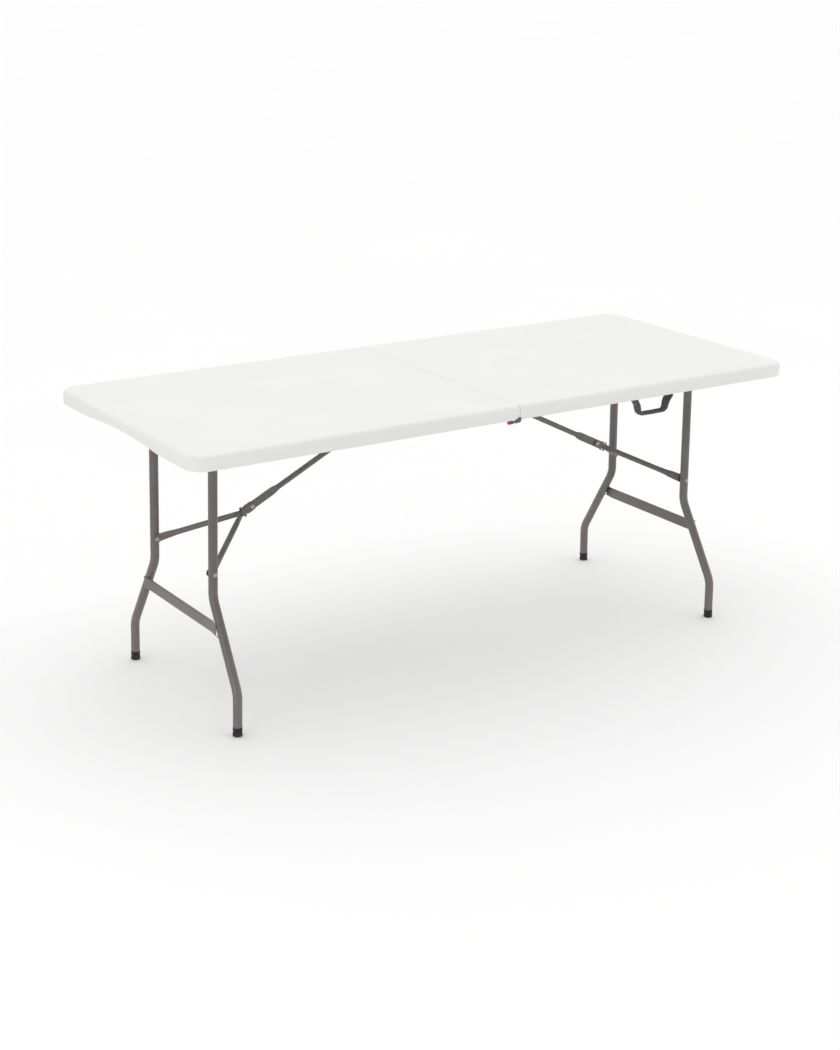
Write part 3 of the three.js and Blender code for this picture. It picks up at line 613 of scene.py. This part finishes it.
def makeTopHalf(notchLength):
    corner, seam = top["corner"], top["seamFace"]
    straightEnd = halfLength - corner
    straightSide = halfWidth - corner
    depth = top["rimWall"] + top["fillet"]
    roundSteps = [0, 0.08, 0.3, 0.62, 1]
    nearSeam = [seam + top["seamRound"] * share for share in roundSteps]
    notchSteps = [seam + 0.003 + (notchLength - 0.003) * step / 9 for step in range(10)]
    waffleX = waffleLines(notchLength + seam + 0.006, straightEnd - 0.002)
    waffleY = waffleLines(-straightSide + 0.002, straightSide - 0.002)
    xLines = nearSeam + notchSteps + waffleX + [straightEnd]
    yLines = [-straightSide] + waffleY + [straightSide]
    arcSteps = 12
    # the path round three sides: (x, y, inward x, inward y), from the front of the seam to its rear
    path = [(x, -halfWidth, 0, 1) for x in xLines]

    def roundCorner(middleY, start):
        for step in range(1, arcSteps):
            angle = math.radians(start + 90 * step / arcSteps)
            cosine, sine = math.cos(angle), math.sin(angle)
            path.append((straightEnd + corner * cosine, middleY + corner * sine, -cosine, -sine))

    roundCorner(-straightSide, -90)
    path += [(halfLength, y, -1, 0) for y in yLines]
    roundCorner(straightSide, 0)
    path += [(x, halfWidth, 0, -1) for x in reversed(xLines)]

    form = Form()
    strips = []
    for inset, z, insetNormal, upNormal, lower in rimSection():
        line = []
        for x, y, inwardX, inwardY in path:
            shrink = seamShrink(x)
            away, level = inset - insetNormal * shrink, z - upNormal * shrink
            if lower:
                level += notchLift(x - seam, notchLength) if inwardX == 0 else archLift(y)
            line.append((x + inwardX * away, y + inwardY * away, level))
        strips.append(form.ring(line))
    for first, second in zip(strips, strips[1:]):
        form.strip(first, second, closed=False)
    form.cap(strips[-1])  # the top face, closed along the seam

    # the underside: rows of points from front to rear at each x, each row ending on the rim's fillet
    fillet = strips[0]
    sidePoints = len(xLines)
    halfArc = arcSteps // 2
    seamY = halfWidth - depth
    rowCount = len(yLines) + 2 * halfArc
    spread = [-seamY + (seamY - straightSide) * step / halfArc for step in range(halfArc)]
    rowY = spread + yLines + [-value for value in reversed(spread)]
    grid = []
    for column in range(sidePoints):
        inner = []
        for y in rowY[1:-1]:
            x = xLines[column]
            free = x < top["padX"] and abs(y) < top["padY"] or abs(y) > top["dimpleLimitY"]
            sunk = 0 if free else dimpleShare(x, waffleX) * dimpleShare(y, waffleY)
            inner.append((x, y, underside + sunk * top["dimpleDepth"] + seamShrink(x)))
        grid.append([fillet[column]] + form.ring(inner) + [fillet[len(path) - 1 - column]])
    endStart = sidePoints - 1 + halfArc
    last = fillet[endStart:endStart + rowCount]
    for step in range(1, halfArc):
        front, rear = fillet[sidePoints - 1 + step], fillet[len(path) - sidePoints - step]
        share = step / halfArc
        inner = []
        for row in range(1, rowCount - 1):
            base, end = form.points[grid[sidePoints - 1][row]], form.points[last[row]]
            edge = form.points[front] if row < rowCount / 2 else form.points[rear]
            rim = min(row, rowCount - 1 - row) / halfArc
            pull = max(0.0, 1 - rim) * 0.5
            x = (base.x + (end.x - base.x) * share) * (1 - pull) + edge.x * pull
            y = base.y + (end.y - base.y) * share
            inner.append((x, y, underside))
        grid.append([front] + form.ring(inner) + [rear])
    grid.append(list(last))
    for first, second in zip(grid, grid[1:]):
        form.strip(first, second, closed=False)

    # the seam face closes the section from the front rim over the slab to the rear rim
    front = [strip[0] for strip in strips]
    rear = [strip[-1] for strip in strips]
    form.cap(front + rear[::-1] + grid[0][1:-1][::-1])
    return form


def makeSeamLip():
    seam, wall = top["seamFace"], top["lipWall"]
    low = tableHeight - top["lipDepth"]
    foot, into = top["lipRound"], top["lipInto"]
    profile = [(seam, underside + into), (seam, low + foot)]
    profile += arcPoints((seam + foot, low + foot), foot, 180, 270, 4)[1:]
    profile += arcPoints((seam + wall - foot, low + foot), foot, -90, 0, 4)
    profile += [(seam + wall, underside - foot)]
    profile += arcPoints((seam + wall + foot, underside - foot), foot, 180, 90, 4)[1:]
    profile += [(seam + wall + foot, underside + into)]
    end, ease = top["lipEnd"], top["lipEase"]
    rings = []
    for y, shrink in ((-end, ease), (-end + ease * 0.3, ease * 0.3), (-end + ease, 0),
                      (end - ease, 0), (end - ease * 0.3, ease * 0.3), (end, ease)):
        rings.append([(x, y, max(z, low + shrink)) for x, z in profile])
    return Form().loft(rings)


for side, flip in sides.items():
    body = side + "_half"
    half = makeTopHalf(top["notch" + side.capitalize()])
    addPiece("top_shell_" + side, half.mirrored(flip), body, "top_plastic", ["tabletop_" + side], 50)
    addPiece("seam_lip_" + side, makeSeamLip().mirrored(flip), body, "top_plastic", sharp=50)
print("table top ready")


rail = {
    "wall": 0.0016, "round": 0.003, "leastRound": 0.0008, "ease": 0.0006,
    "screws": 6, "screwHead": 0.0045, "screwRise": 0.0016, "screwLift": 0.004, "screwShift": 0.55,
}
bush = {"bore": 0.0075, "step": 0.0015, "flange": 0.0012, "ease": 0.0004}


def roundedBox(halfA, halfB, radius, steps=5):
    outline = []
    for centreA, centreB, start in ((1, 1, 0), (-1, 1, 90), (-1, -1, 180), (1, -1, 270)):
        outline += arcPoints((centreA * (halfA - radius), centreB * (halfB - radius)), radius,
                             start, start + 90, steps)
    return outline


def makeRail(low, high):
    middle = (low + high) / 2
    halfY, halfZ = (high.y - low.y) / 2, (high.z - low.z) / 2
    wall, radius = rail["wall"], rail["round"]
    rim = rail["ease"]

    def loop(x, shrink):
        outline = roundedBox(halfY - shrink, halfZ - shrink, max(radius - shrink, rail["leastRound"]))
        return [(x, middle.y + y, middle.z + z) for y, z in outline]

    rings = [loop(low.x, rim), loop(low.x + rim, 0), loop(high.x - rim, 0), loop(high.x, rim),
             loop(high.x, wall - rim), loop(high.x - rim, wall),
             loop(low.x + rim, wall), loop(low.x, wall - rim)]
    return Form().loft(rings, looped=True)


def makePanScrew(place, axis):
    radius, rise = rail["screwHead"], rail["screwRise"]
    dome = [(radius, 0), (radius, rise * 0.35), (radius * 0.92, rise * 0.7), (radius * 0.7, rise * 0.92),
            (radius * 0.42, rise), (radius * 0.3, rise * 0.55), (radius * 0.12, rise * 0.4)]
    return turned(dome, place, axis, 24)


def makeRailScrews(low, high):
    form = Form()
    step = (high.x - low.x) / rail["screws"]
    level = (low.z + high.z) / 2 + rail["screwLift"]
    for index in range(rail["screws"]):
        place = Vector((low.x + step * (index + rail["screwShift"]), low.y, level))
        form.add(makePanScrew(place, (0, -1, 0)))
    return form


def makeBush(low, high):
    middle = (low + high) / 2
    bore, ease, thick = bush["bore"], bush["ease"], bush["flange"]
    flange = (high.x - low.x) / 2
    radius = flange - bush["step"]
    length = high.y - low.y
    profile = [(bore, ease), (bore + ease, 0), (flange - ease, 0), (flange, ease), (flange, thick - ease),
               (flange - ease, thick), (radius, thick), (radius, length), (bore, length)]
    return turned(profile, Vector((middle.x, low.y, middle.z)), (0, 1, 0), closed=True)


railLow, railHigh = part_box("side_rail_rear_right")
bushLow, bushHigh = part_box("pivot_bush_rear_right")
for side, flip in sides.items():
    for row, turn in rows.items():
        body, tag = side + "_half", f"{row}_{side}"
        addPiece("rail_tube_" + tag, makeRail(railLow, railHigh).mirrored(flip, turn), body, "frame_paint",
                 ["side_rail_" + tag])
        addPiece("rail_screws_" + tag, makeRailScrews(railLow, railHigh).mirrored(flip, turn), body, "steel")
        addPiece("bush_" + tag, makeBush(bushLow, bushHigh).mirrored(flip, turn), body, "dark_plastic",
                 ["pivot_bush_" + tag])
print("rails ready")


legs = {
    "upperBend": 0.3135, "lowerBend": 0.1075, "bendRadius": 0.065, "capHeight": 0.023, "capLip": 0.0013,
    "beadRadius": 0.0011, "beadSink": 0.0003, "spigot": 0.007, "swage": 0.55,
    "bandHigh": 0.030, "bandThick": 0.0062, "bandTab": 0.0012, "bandZ": 0.245, "tabMargin": 0.015,
    "tabTaper": 0.018, "tabGap": 0.0003, "bandGap": 0.00025, "weldRadius": 0.0013,
}
pivot = Vector(joints["leg_fold_right"]["pos_m"])
legLow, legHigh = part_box("leg_rear_right")
footLow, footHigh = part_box("foot_cap_rear_right")
barLow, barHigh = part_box("pivot_tube_right")
tubeRadius = (barHigh.x - barLow.x) / 2
legTopY, legFootY = legLow.y + tubeRadius, legHigh.y - tubeRadius
footX = (footLow.x + footHigh.x) / 2
legTilt = math.atan2(footX - pivot.x, pivot.z)
legLength = pivot.z / math.cos(legTilt)


# Leg space has its origin on the pivot and -Z down the leg.
def legPlace(point):
    along = Vector((math.cos(legTilt), 0, math.sin(legTilt)))
    up = Vector((-math.sin(legTilt), 0, math.cos(legTilt)))
    return Vector((pivot.x, 0, pivot.z)) + along * point.x + Vector((0, point.y, 0)) + up * point.z


def downLeg(height):
    return (pivot.z - height) / math.cos(legTilt)


def legCorners(start, end):
    return [
        Vector((0, legTopY, -start)), Vector((0, legTopY, -downLeg(legs["upperBend"]))),
        Vector((0, legFootY, -downLeg(legs["lowerBend"]))), Vector((0, legFootY, -end)),
    ]


def makeLeg():
    path = bendPath(legCorners(tubeRadius * legs["swage"], legLength - 0.006), legs["bendRadius"], 12)
    fine = [path[0]]
    for before, after in zip(path, path[1:]):
        pieces = max(1, round((after - before).length / 0.04))
        fine += [before.lerp(after, step / pieces) for step in range(1, pieces + 1)]
    tube = makeRod(fine, tubeRadius, 40)
    bead = []
    for step in range(48):
        angle = step / 48 * 2 * math.pi
        x = (tubeRadius - legs["beadSink"]) * math.cos(angle)
        z = -tubeRadius * abs(math.sin(angle)) ** 0.9 - 0.0006
        bead.append(Vector((x, legTopY + tubeRadius * math.sin(angle), z)))
    tube.add(makeRod(bead, legs["beadRadius"], 12, looped=True))
    return tube.placed(legPlace)


def makeFootCap():
    outer = (footHigh.y - footLow.y) / 2 - 0.0003
    lip, height = legs["capLip"], legs["capHeight"]
    bore = tubeRadius + 0.0001
    profile = [(outer * 0.4, 0), (outer - 0.0022, 0), (outer - 0.0008, 0.0004), (outer, 0.002),
               (outer, 0.0045), (outer - 0.0007, 0.0058), (outer - 0.0007, height - 0.006),
               (outer - 0.0002, height - 0.0045), (outer, height - 0.003), (outer - 0.0002, height - lip),
               (outer - 0.0008, height), (bore, height), (bore, height - 0.004)]
    cap = turned(profile, Vector((0, legFootY, -legLength)), (0, 0, 1), 44).placed(legPlace)
    for point in cap.points:
        point.z = max(point.z, 0.0)
    return cap


def makePivotTube():
    end = barHigh.y
    shoulder = end - (railHigh.y - railLow.y) - 0.0017
    spigot = legs["spigot"]
    swage = tubeRadius * legs["swage"]
    half = [(spigot - 0.0012, end), (spigot, end - 0.0004), (spigot, shoulder + 0.0015)]
    half += [(spigot + (tubeRadius - spigot) * (1 - math.cos(math.pi * share)) / 2, shoulder - swage * share)
             for share in (0, 0.2, 0.4, 0.6, 0.8, 1)]
    profile = [(radius, -y) for radius, y in half] + list(reversed(half))
    return turned(profile, Vector((pivot.x, 0, pivot.z)), (0, 1, 0), 40)


def makeStretcher():
    along = downLeg(legs["bandZ"])
    upper, lower = downLeg(legs["upperBend"]), downLeg(legs["lowerBend"])
    legY = legTopY + (along - upper) / (lower - upper) * (legFootY - legTopY)
    high, thick, tab = legs["bandHigh"] / 2, legs["bandThick"] / 2, legs["bandTab"] / 2
    bandX, tabX = tubeRadius - thick - legs["bandGap"], tubeRadius + legs["tabGap"] + tab
    stations = []
    for y, x, t, square in ((legY + tubeRadius - legs["tabMargin"], tabX, tab, 0.3),
                            (legY - tubeRadius, tabX, tab, 0.3),
                            (legY - tubeRadius - legs["tabTaper"], bandX, thick, 0.55)):
        stations.append((Vector((x, y, -along)), high, t, square))
    mirrored = [(Vector((point.x, -point.y, point.z)), *rest) for point, *rest in stations]
    band = makeBar(mirrored + stations[::-1], Vector((0, 0, 1)), 36, 5)
    for flip in (1, -1):
        for level in (high, -high):
            drift = -level * (legFootY - legTopY) / (lower - upper)
            weld = [Vector((tabX - tab, flip * (legY + drift * 0.4 - 0.004 + step * 0.0011), level - along))
                    for step in range(8)]
            band.add(makeRod(weld, legs["weldRadius"], 10))
    return band.placed(legPlace)


rivet = {"radius": 0.006, "rise": 0.0024, "pin": 0.003, "ease": 0.0003, "brim": 0.0002, "tip": 0.0002}


# A domed rivet head, and the shank behind it.
def rivetHead(place, axis, shank):
    radius, rise, pin = rivet["radius"], rivet["rise"], rivet["pin"]
    dome = [(radius * math.cos(angle), rise * math.sin(angle) ** 0.9)
            for angle in (math.radians(step * 9) for step in range(0, 10))]
    profile = [(pin, -shank), (pin, 0), (radius - rivet["ease"], 0)]
    profile += [(max(out, rivet["tip"]), height + rivet["brim"]) for out, height in dome]
    return turned(profile, Vector(place), axis, 32)


rivetLow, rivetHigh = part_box("leg_rivet_rear_right")
legRivetAlong = (pivot.z - (rivetLow.z + rivetHigh.z) / 2) / math.cos(legTilt)


def makeLegRivet():
    shank = 2 * tubeRadius - 0.0004
    return rivetHead((0, legTopY + tubeRadius, -legRivetAlong), (0, 1, 0), shank).placed(legPlace)


for side, flip in sides.items():
    body = "leg_frame_" + side
    addPiece("pivot_bar_" + side, makePivotTube().mirrored(flip), body, "frame_paint", ["pivot_tube_" + side])
    addPiece("cross_band_" + side, makeStretcher().mirrored(flip), body, "frame_paint", ["stretcher_" + side])
    for row, turn in rows.items():
        tag = f"{row}_{side}"
        addPiece("leg_tube_" + tag, makeLeg().mirrored(flip, turn), body, "frame_paint", ["leg_" + tag])
        addPiece("foot_" + tag, makeFootCap().mirrored(flip, turn), body, "foot_rubber", ["foot_cap_" + tag])
        addPiece("leg_rivet_head_" + tag, makeLegRivet().mirrored(flip, turn), body, "steel",
                 ["leg_rivet_" + tag])
print("leg frames ready")


stay = {
    "diameter": 0.014, "armDiameter": 0.0145, "plateHigh": 0.0215, "plateThick": 0.0032, "endRadius": 0.008,
    "flare": 0.066, "taper": 0.022, "tail": 0.022, "tailChamfer": 0.005, "ear": 0.034,
    "earFlare": 0.006, "earGap": 0.0006, "footGap": 0.0003,
    "holeInset": 0.0054, "holeRadius": 0.0025, "holeWeb": 0.0005, "holeReach": 0.02,
    "ringStart": 0.004, "ringWidth": 0.007, "ringWall": 0.0011, "ringSlit": 0.0054, "ringCorner": 0.0014,
    "ringGapY": 0.0011, "ringGapZ": 0.0005, "kneeGap": 0.0009, "anchorFace": 0.0045,
}
anchor = Vector(joints["stay_swing_right"]["pos_m"])
knee = Vector(joints["brace_knee_right"]["pos_m"])
armFoot = legPlace(Vector((0, 0, -legRivetAlong)))
stayLength = (knee - anchor).length
braceLength = (knee - armFoot).length
stayPlace = alongPlace(anchor, knee - anchor)
bracePlace = alongPlace(armFoot, knee - armFoot)
upright = Vector((0, 0, 1))
endShape = [(1, 0.12), (0.98, 0.3), (0.9, 0.5), (0.75, 0.7), (0.5, 0.88), (0.25, 0.97), (0, 1)]


# Stations of a flattened end: rounded off towards x from a pin at pinX.
def flatEnd(pinX, y, radius, direction, thick):
    return [(Vector((pinX + direction * radius * out, y, 0)), radius * high, thick, 0.3)
            for out, high in endShape]


def makeStay():
    radius, plate, thick = stay["diameter"] / 2, stay["plateHigh"] / 2, stay["plateThick"] / 2
    end = stay["endRadius"]
    flare = stayLength - stay["flare"]
    tip = stayLength + stay["tail"]
    chamfer = stay["tailChamfer"]
    stations = flatEnd(0, 0, end, -1, thick)
    for x, high, half, square in (
            (end * 2, end, thick, 0.3), (end * 4.6, radius, radius * 0.96, 0.9), (end * 6, radius, radius, 1),
            (flare - stay["taper"], radius, radius, 1), (flare, plate * 0.98, thick * 1.1, 0.32),
            (flare + 0.008, plate, thick, 0.28), (tip - chamfer, plate, thick, 0.28),
            (tip, plate - chamfer, thick * 0.85, 0.3)):
        stations.append((Vector((x, 0, 0)), high, half, square))
    bar = makeBar(stations, upright, 36, 7)
    return bar.placed(stayPlace)


# The tooling hole, sunk from both faces of the squashed tube with a web between.
def makeFlareHole():
    middle = Vector((stayLength - stay["flare"] + stay["holeInset"], 0, 0))
    profile = [(stay["holeRadius"], stay["holeWeb"]), (stay["holeRadius"], stay["holeReach"])]
    form = Form()
    for direction in (1, -1):
        form.add(turned(profile, middle, (0, direction, 0), 24))
    return form.placed(stayPlace)


def makeBraceArm():
    radius, plate, thick = stay["armDiameter"] / 2, stay["plateHigh"] / 2, stay["plateThick"] / 2
    footY = legTopY - tubeRadius - stay["footGap"] - thick
    earY = stay["plateThick"] + stay["earGap"]
    fork = braceLength - stay["ear"]
    start, end = Vector((0.010, footY, 0)), Vector((fork, earY, 0))
    stations = flatEnd(0, footY, plate, -1, thick)
    stations.append((Vector((0.007, footY, 0)), plate, thick, 0.3))
    for share, high, half, square in (
            (0.10, plate * 0.92, thick * 1.15, 0.45), (0.2, radius * 1.06, radius * 0.85, 0.85),
            (0.3, radius, radius, 1), (0.8, radius, radius, 1), (0.9, radius, radius * 0.62, 0.75)):
        stations.append((start.lerp(end, share), high, half, square))
    flare = fork + stay["ringStart"] + stay["ringWidth"]
    for x, high in ((fork, radius), (flare, radius), (flare + stay["earFlare"], plate)):
        stations.append((Vector((x, earY, 0)), high, thick, 0.3))
    stations += flatEnd(braceLength, earY, plate, 1, thick)[::-1]
    return makeBar(stations, upright, 36, 6).placed(bracePlace)


def makeLockRing():
    wall = stay["ringWall"] / 2
    halfY = stay["plateThick"] * 1.5 + stay["ringGapY"] + wall
    halfZ = stay["plateHigh"] / 2 + stay["ringGapZ"] + wall
    start = braceLength - stay["ear"] + stay["ringStart"]
    slit = stay["ringSlit"] / 2
    # the loop starts and ends at the slit, on the side away from the top
    path = [Vector((0, y, z)) for z, y in roundedBox(halfZ, halfY, stay["ringCorner"], 6)]
    path = [point for point in path if not (point.z > halfZ - wall and abs(point.y) < slit)]
    ordered = sorted(path, key=lambda point: -math.atan2(point.y, point.z) % (2 * math.pi))
    ends = [Vector((0, -slit, halfZ)), Vector((0, slit, halfZ))]
    line = [ends[0]] + ordered + [ends[1]]
    rings = []
    half = stay["ringWidth"] / 2
    for index, point in enumerate(line):
        ahead = (line[min(index + 1, len(line) - 1)] - line[max(index - 1, 0)]).normalized()
        out = Vector((1, 0, 0)).cross(ahead)
        rings.append([point + out * a + Vector((start + half + b, 0, 0))
                      for a, b in roundSection(half, wall, 0.4, 20)])
    return Form().loft(rings).placed(bracePlace)


def makeArmRivet():
    footY = legTopY - tubeRadius - stay["footGap"] - stay["plateThick"]
    return rivetHead((0, footY, 0), (0, -1, 0), stay["plateThick"]).placed(bracePlace)


# A rivet with a domed head at each end; face is from its middle to the underside of a head.
def rivetThrough(place, face):
    radius, rise = rivet["radius"], rivet["rise"]
    dome = [(max(radius * math.cos(angle), rivet["tip"]), face + rise * math.sin(angle) ** 0.9)
            for angle in (math.radians(step * 9) for step in range(0, 11))]
    half = [(rivet["pin"], face), (radius - rivet["ease"], face)] + dome
    profile = [(out, -height) for out, height in reversed(half)] + half
    return turned(profile, Vector(place), (0, 1, 0), 32)


def makeKneeRivet():
    return rivetThrough((braceLength, 0, 0), stay["plateThick"] * 1.5 + stay["kneeGap"]).placed(bracePlace)


def makeAnchorPin():
    return rivetThrough(anchor, stay["anchorFace"])


for side, flip in sides.items():
    brace, half = "y_brace_" + side, side + "_half"
    rod = addPiece("stay_rod_" + side, makeStay().mirrored(flip), "stay_" + side, "frame_paint",
                   ["stay_bar_" + side])
    cutHole(rod, makeFlareHole().mirrored(flip))
    addPiece("ring_" + side, makeLockRing().mirrored(flip), "lock_ring_" + side, "frame_paint",
             ["lock_ring_" + side])
    addPiece("knee_pin_" + side, makeKneeRivet().mirrored(flip), brace, "steel", ["knee_rivet_" + side])
    addPiece("anchor_rivet_" + side, makeAnchorPin().mirrored(flip), half, "steel", ["anchor_pin_" + side])
    easeEdges("stay_bracket_" + side, half, "frame_paint")
    for row, turn in rows.items():
        tag = f"{row}_{side}"
        addPiece("arm_" + tag, makeBraceArm().mirrored(flip, turn), brace, "frame_paint",
                 ["brace_arm_" + tag])
        addPiece("arm_rivet_head_" + tag, makeArmRivet().mirrored(flip, turn), brace, "steel",
                 ["arm_rivet_" + tag])
        easeEdges("hinge_leaf_" + tag, half, "frame_paint")
print("stays and braces ready")


hingePin = {"radius": 0.003, "rise": 0.002, "ease": 0.0005, "tip": 0.0004}


def makeHingePin(node):
    low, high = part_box(node)
    radius, rise, ease, tip = (hingePin[key] for key in ("radius", "rise", "ease", "tip"))
    head = (high.z - low.z) / 2
    inward = -1 if low.y > 0 else 1
    innerEnd, outerEnd = (low.y, high.y) if low.y > 0 else (high.y, low.y)
    length = abs(outerEnd - innerEnd)
    profile = [(tip, 0), (head * 0.6, rise * 0.1), (head * 0.9, rise * 0.45), (head, rise * 0.8),
               (head, rise), (radius, rise), (radius, length - ease), (radius - ease, length), (tip, length)]
    return turned(profile, Vector((0, innerEnd, hingeAxis.z)), (0, -inward, 0), 32)


for row in rows:
    addPiece("pin_" + row, makeHingePin("hinge_pin_" + row), "left_half", "frame_paint",
             ["hinge_pin_" + row])


handle = {
    "topWide": 0.130, "bottomWide": 0.102, "drop": 0.062, "corner": 0.013, "thick": 0.0092, "topDeep": 0.028,
    "gripDeep": 0.017, "eye": 0.0055, "square": 0.5,
}


def makeHandle():
    eye, thick, corner = handle["eye"], handle["thick"] / 2, handle["corner"]
    upper, bottom = handle["topWide"] / 2 - thick, handle["bottomWide"] / 2 - thick
    low = -(handle["drop"] - thick)
    topDeep, bendDeep, gripDeep = handle["topDeep"], handle["topDeep"] * 0.84, handle["gripDeep"]
    stations = [(x, z, deep / 2) for x, z, deep in (
        (-upper, eye, eye * 0.9), (-upper, eye * 0.8, eye * 1.5), (-upper, 0, eye * 2),
        (-upper, -eye * 1.3, eye * 2.1), (-upper + 0.0008, -eye * 2.4, topDeep * 0.94),
        (-upper + 0.0015, -eye * 3.2, topDeep), (-bottom - 0.003, low + corner * 1.9, topDeep * 0.92))]
    for step in range(7):
        angle = math.radians(90 * step / 6)
        inward, upward = 1 - math.cos(angle), 1 - math.sin(angle)
        deep = bendDeep + (gripDeep - bendDeep) * step / 6
        stations.append((-bottom + corner * inward, low + corner * upward, deep / 2))
    stations.append((0, low - 0.0004, gripDeep / 2 * 1.04))
    left = [(Vector((x, 0, z)), high, thick, handle["square"]) for x, z, high in stations]
    right = [(Vector((-point.x, 0, point.z)), *rest) for point, *rest in left[-2::-1]]
    bar = makeBar(left + right, Vector((0, 1, 0)), 36, 4)
    place = Vector(joints["handle_swing"]["pos_m"])
    return bar.placed(lambda point: point + place)


addPiece("handle_grip", makeHandle(), "carry_handle", "dark_plastic", ["carry_handle"], 50)
for side in sides:
    easeEdges("handle_lug_" + side, "right_half", "dark_plastic", 0.0005)


latch = {
    "reach": 0.030, "plate": 0.004, "eye": 0.0065, "strap": 0.0044, "bend": 0.017, "ease": 0.0005,
    "ribs": 5, "groove": 0.07, "roundShare": 0.11, "tipSize": 0.55, "square": 0.55,
}


def makeLatchStrap():
    low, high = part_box("latch_tongue")
    middleY = (low.y + high.y) / 2
    gripLow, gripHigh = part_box("latch_grip")
    drop = hingeAxis.z - (gripLow.z + gripHigh.z) / 2
    eye, strap, reach, bend = latch["eye"], latch["strap"] / 2, latch["reach"], latch["bend"]
    outline = [(math.cos(math.radians(angle)) * eye, math.sin(math.radians(angle)) * eye)
               for angle in range(-108, 109, 12)]

    def curve(start, control, end, steps=10):
        points = []
        for t in (step / steps for step in range(1, steps + 1)):
            points.append(tuple((1 - t) ** 2 * s + 2 * t * (1 - t) * c + t * t * e
                                for s, c, e in zip(start, control, end)))
        return points

    outline += curve(outline[-1], (-bend / 2, 0), (-bend, -drop + strap))
    outline += [(-reach, -drop + strap), (-reach, -drop - strap), (-bend, -drop - strap)]
    outline += curve(outline[-1], (-bend / 2, -eye - strap), outline[0])[:-1]
    half, ease = latch["plate"] / 2, latch["ease"]
    centre = (sum(x for x, _ in outline) / len(outline), sum(z for _, z in outline) / len(outline))
    rings = []
    for y, shrink in ((-half, ease), (-half + ease, 0), (half - ease, 0), (half, ease)):
        ring = []
        for x, z in outline:
            pull = Vector((centre[0] - x, centre[1] - z)).normalized() * shrink
            ring.append((x + pull.x, middleY + y, hingeAxis.z + z + pull.y))
        rings.append(ring)
    return Form().loft(rings)


def makeLatchGrip():
    low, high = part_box("latch_grip")
    middle, half = (low + high) / 2, (high - low) / 2
    ribs, tip = latch["ribs"], latch["tipSize"]
    steps = ribs * 8
    rings = []
    for step in range(steps + 1):
        share = step / steps
        edge = min(share, 1 - share)  # how near the closer end is
        ease = 1
        if edge < latch["roundShare"]:
            ease = min(1.0, math.sqrt(max(0.0, 1 - (1 - edge * 9) ** 2)))
        groove = 1 - latch["groove"] * max(0.0, math.cos(share * ribs * 2 * math.pi)) ** 3
        size = (tip + (1 - tip) * ease) * groove
        x = low.x + (high.x - low.x) * share
        outline = roundSection(half.z * size, half.y * size, latch["square"], 28)
        rings.append([(x, middle.y + a, middle.z + b) for a, b in outline])
    return Form().loft(rings)


addPiece("latch_strap", makeLatchStrap(), "seam_latch", "frame_paint", ["latch_tongue"])
addPiece("latch_thumb_grip", makeLatchGrip(), "seam_latch", "red_plastic", ["latch_grip"])
print("handle and latch ready")
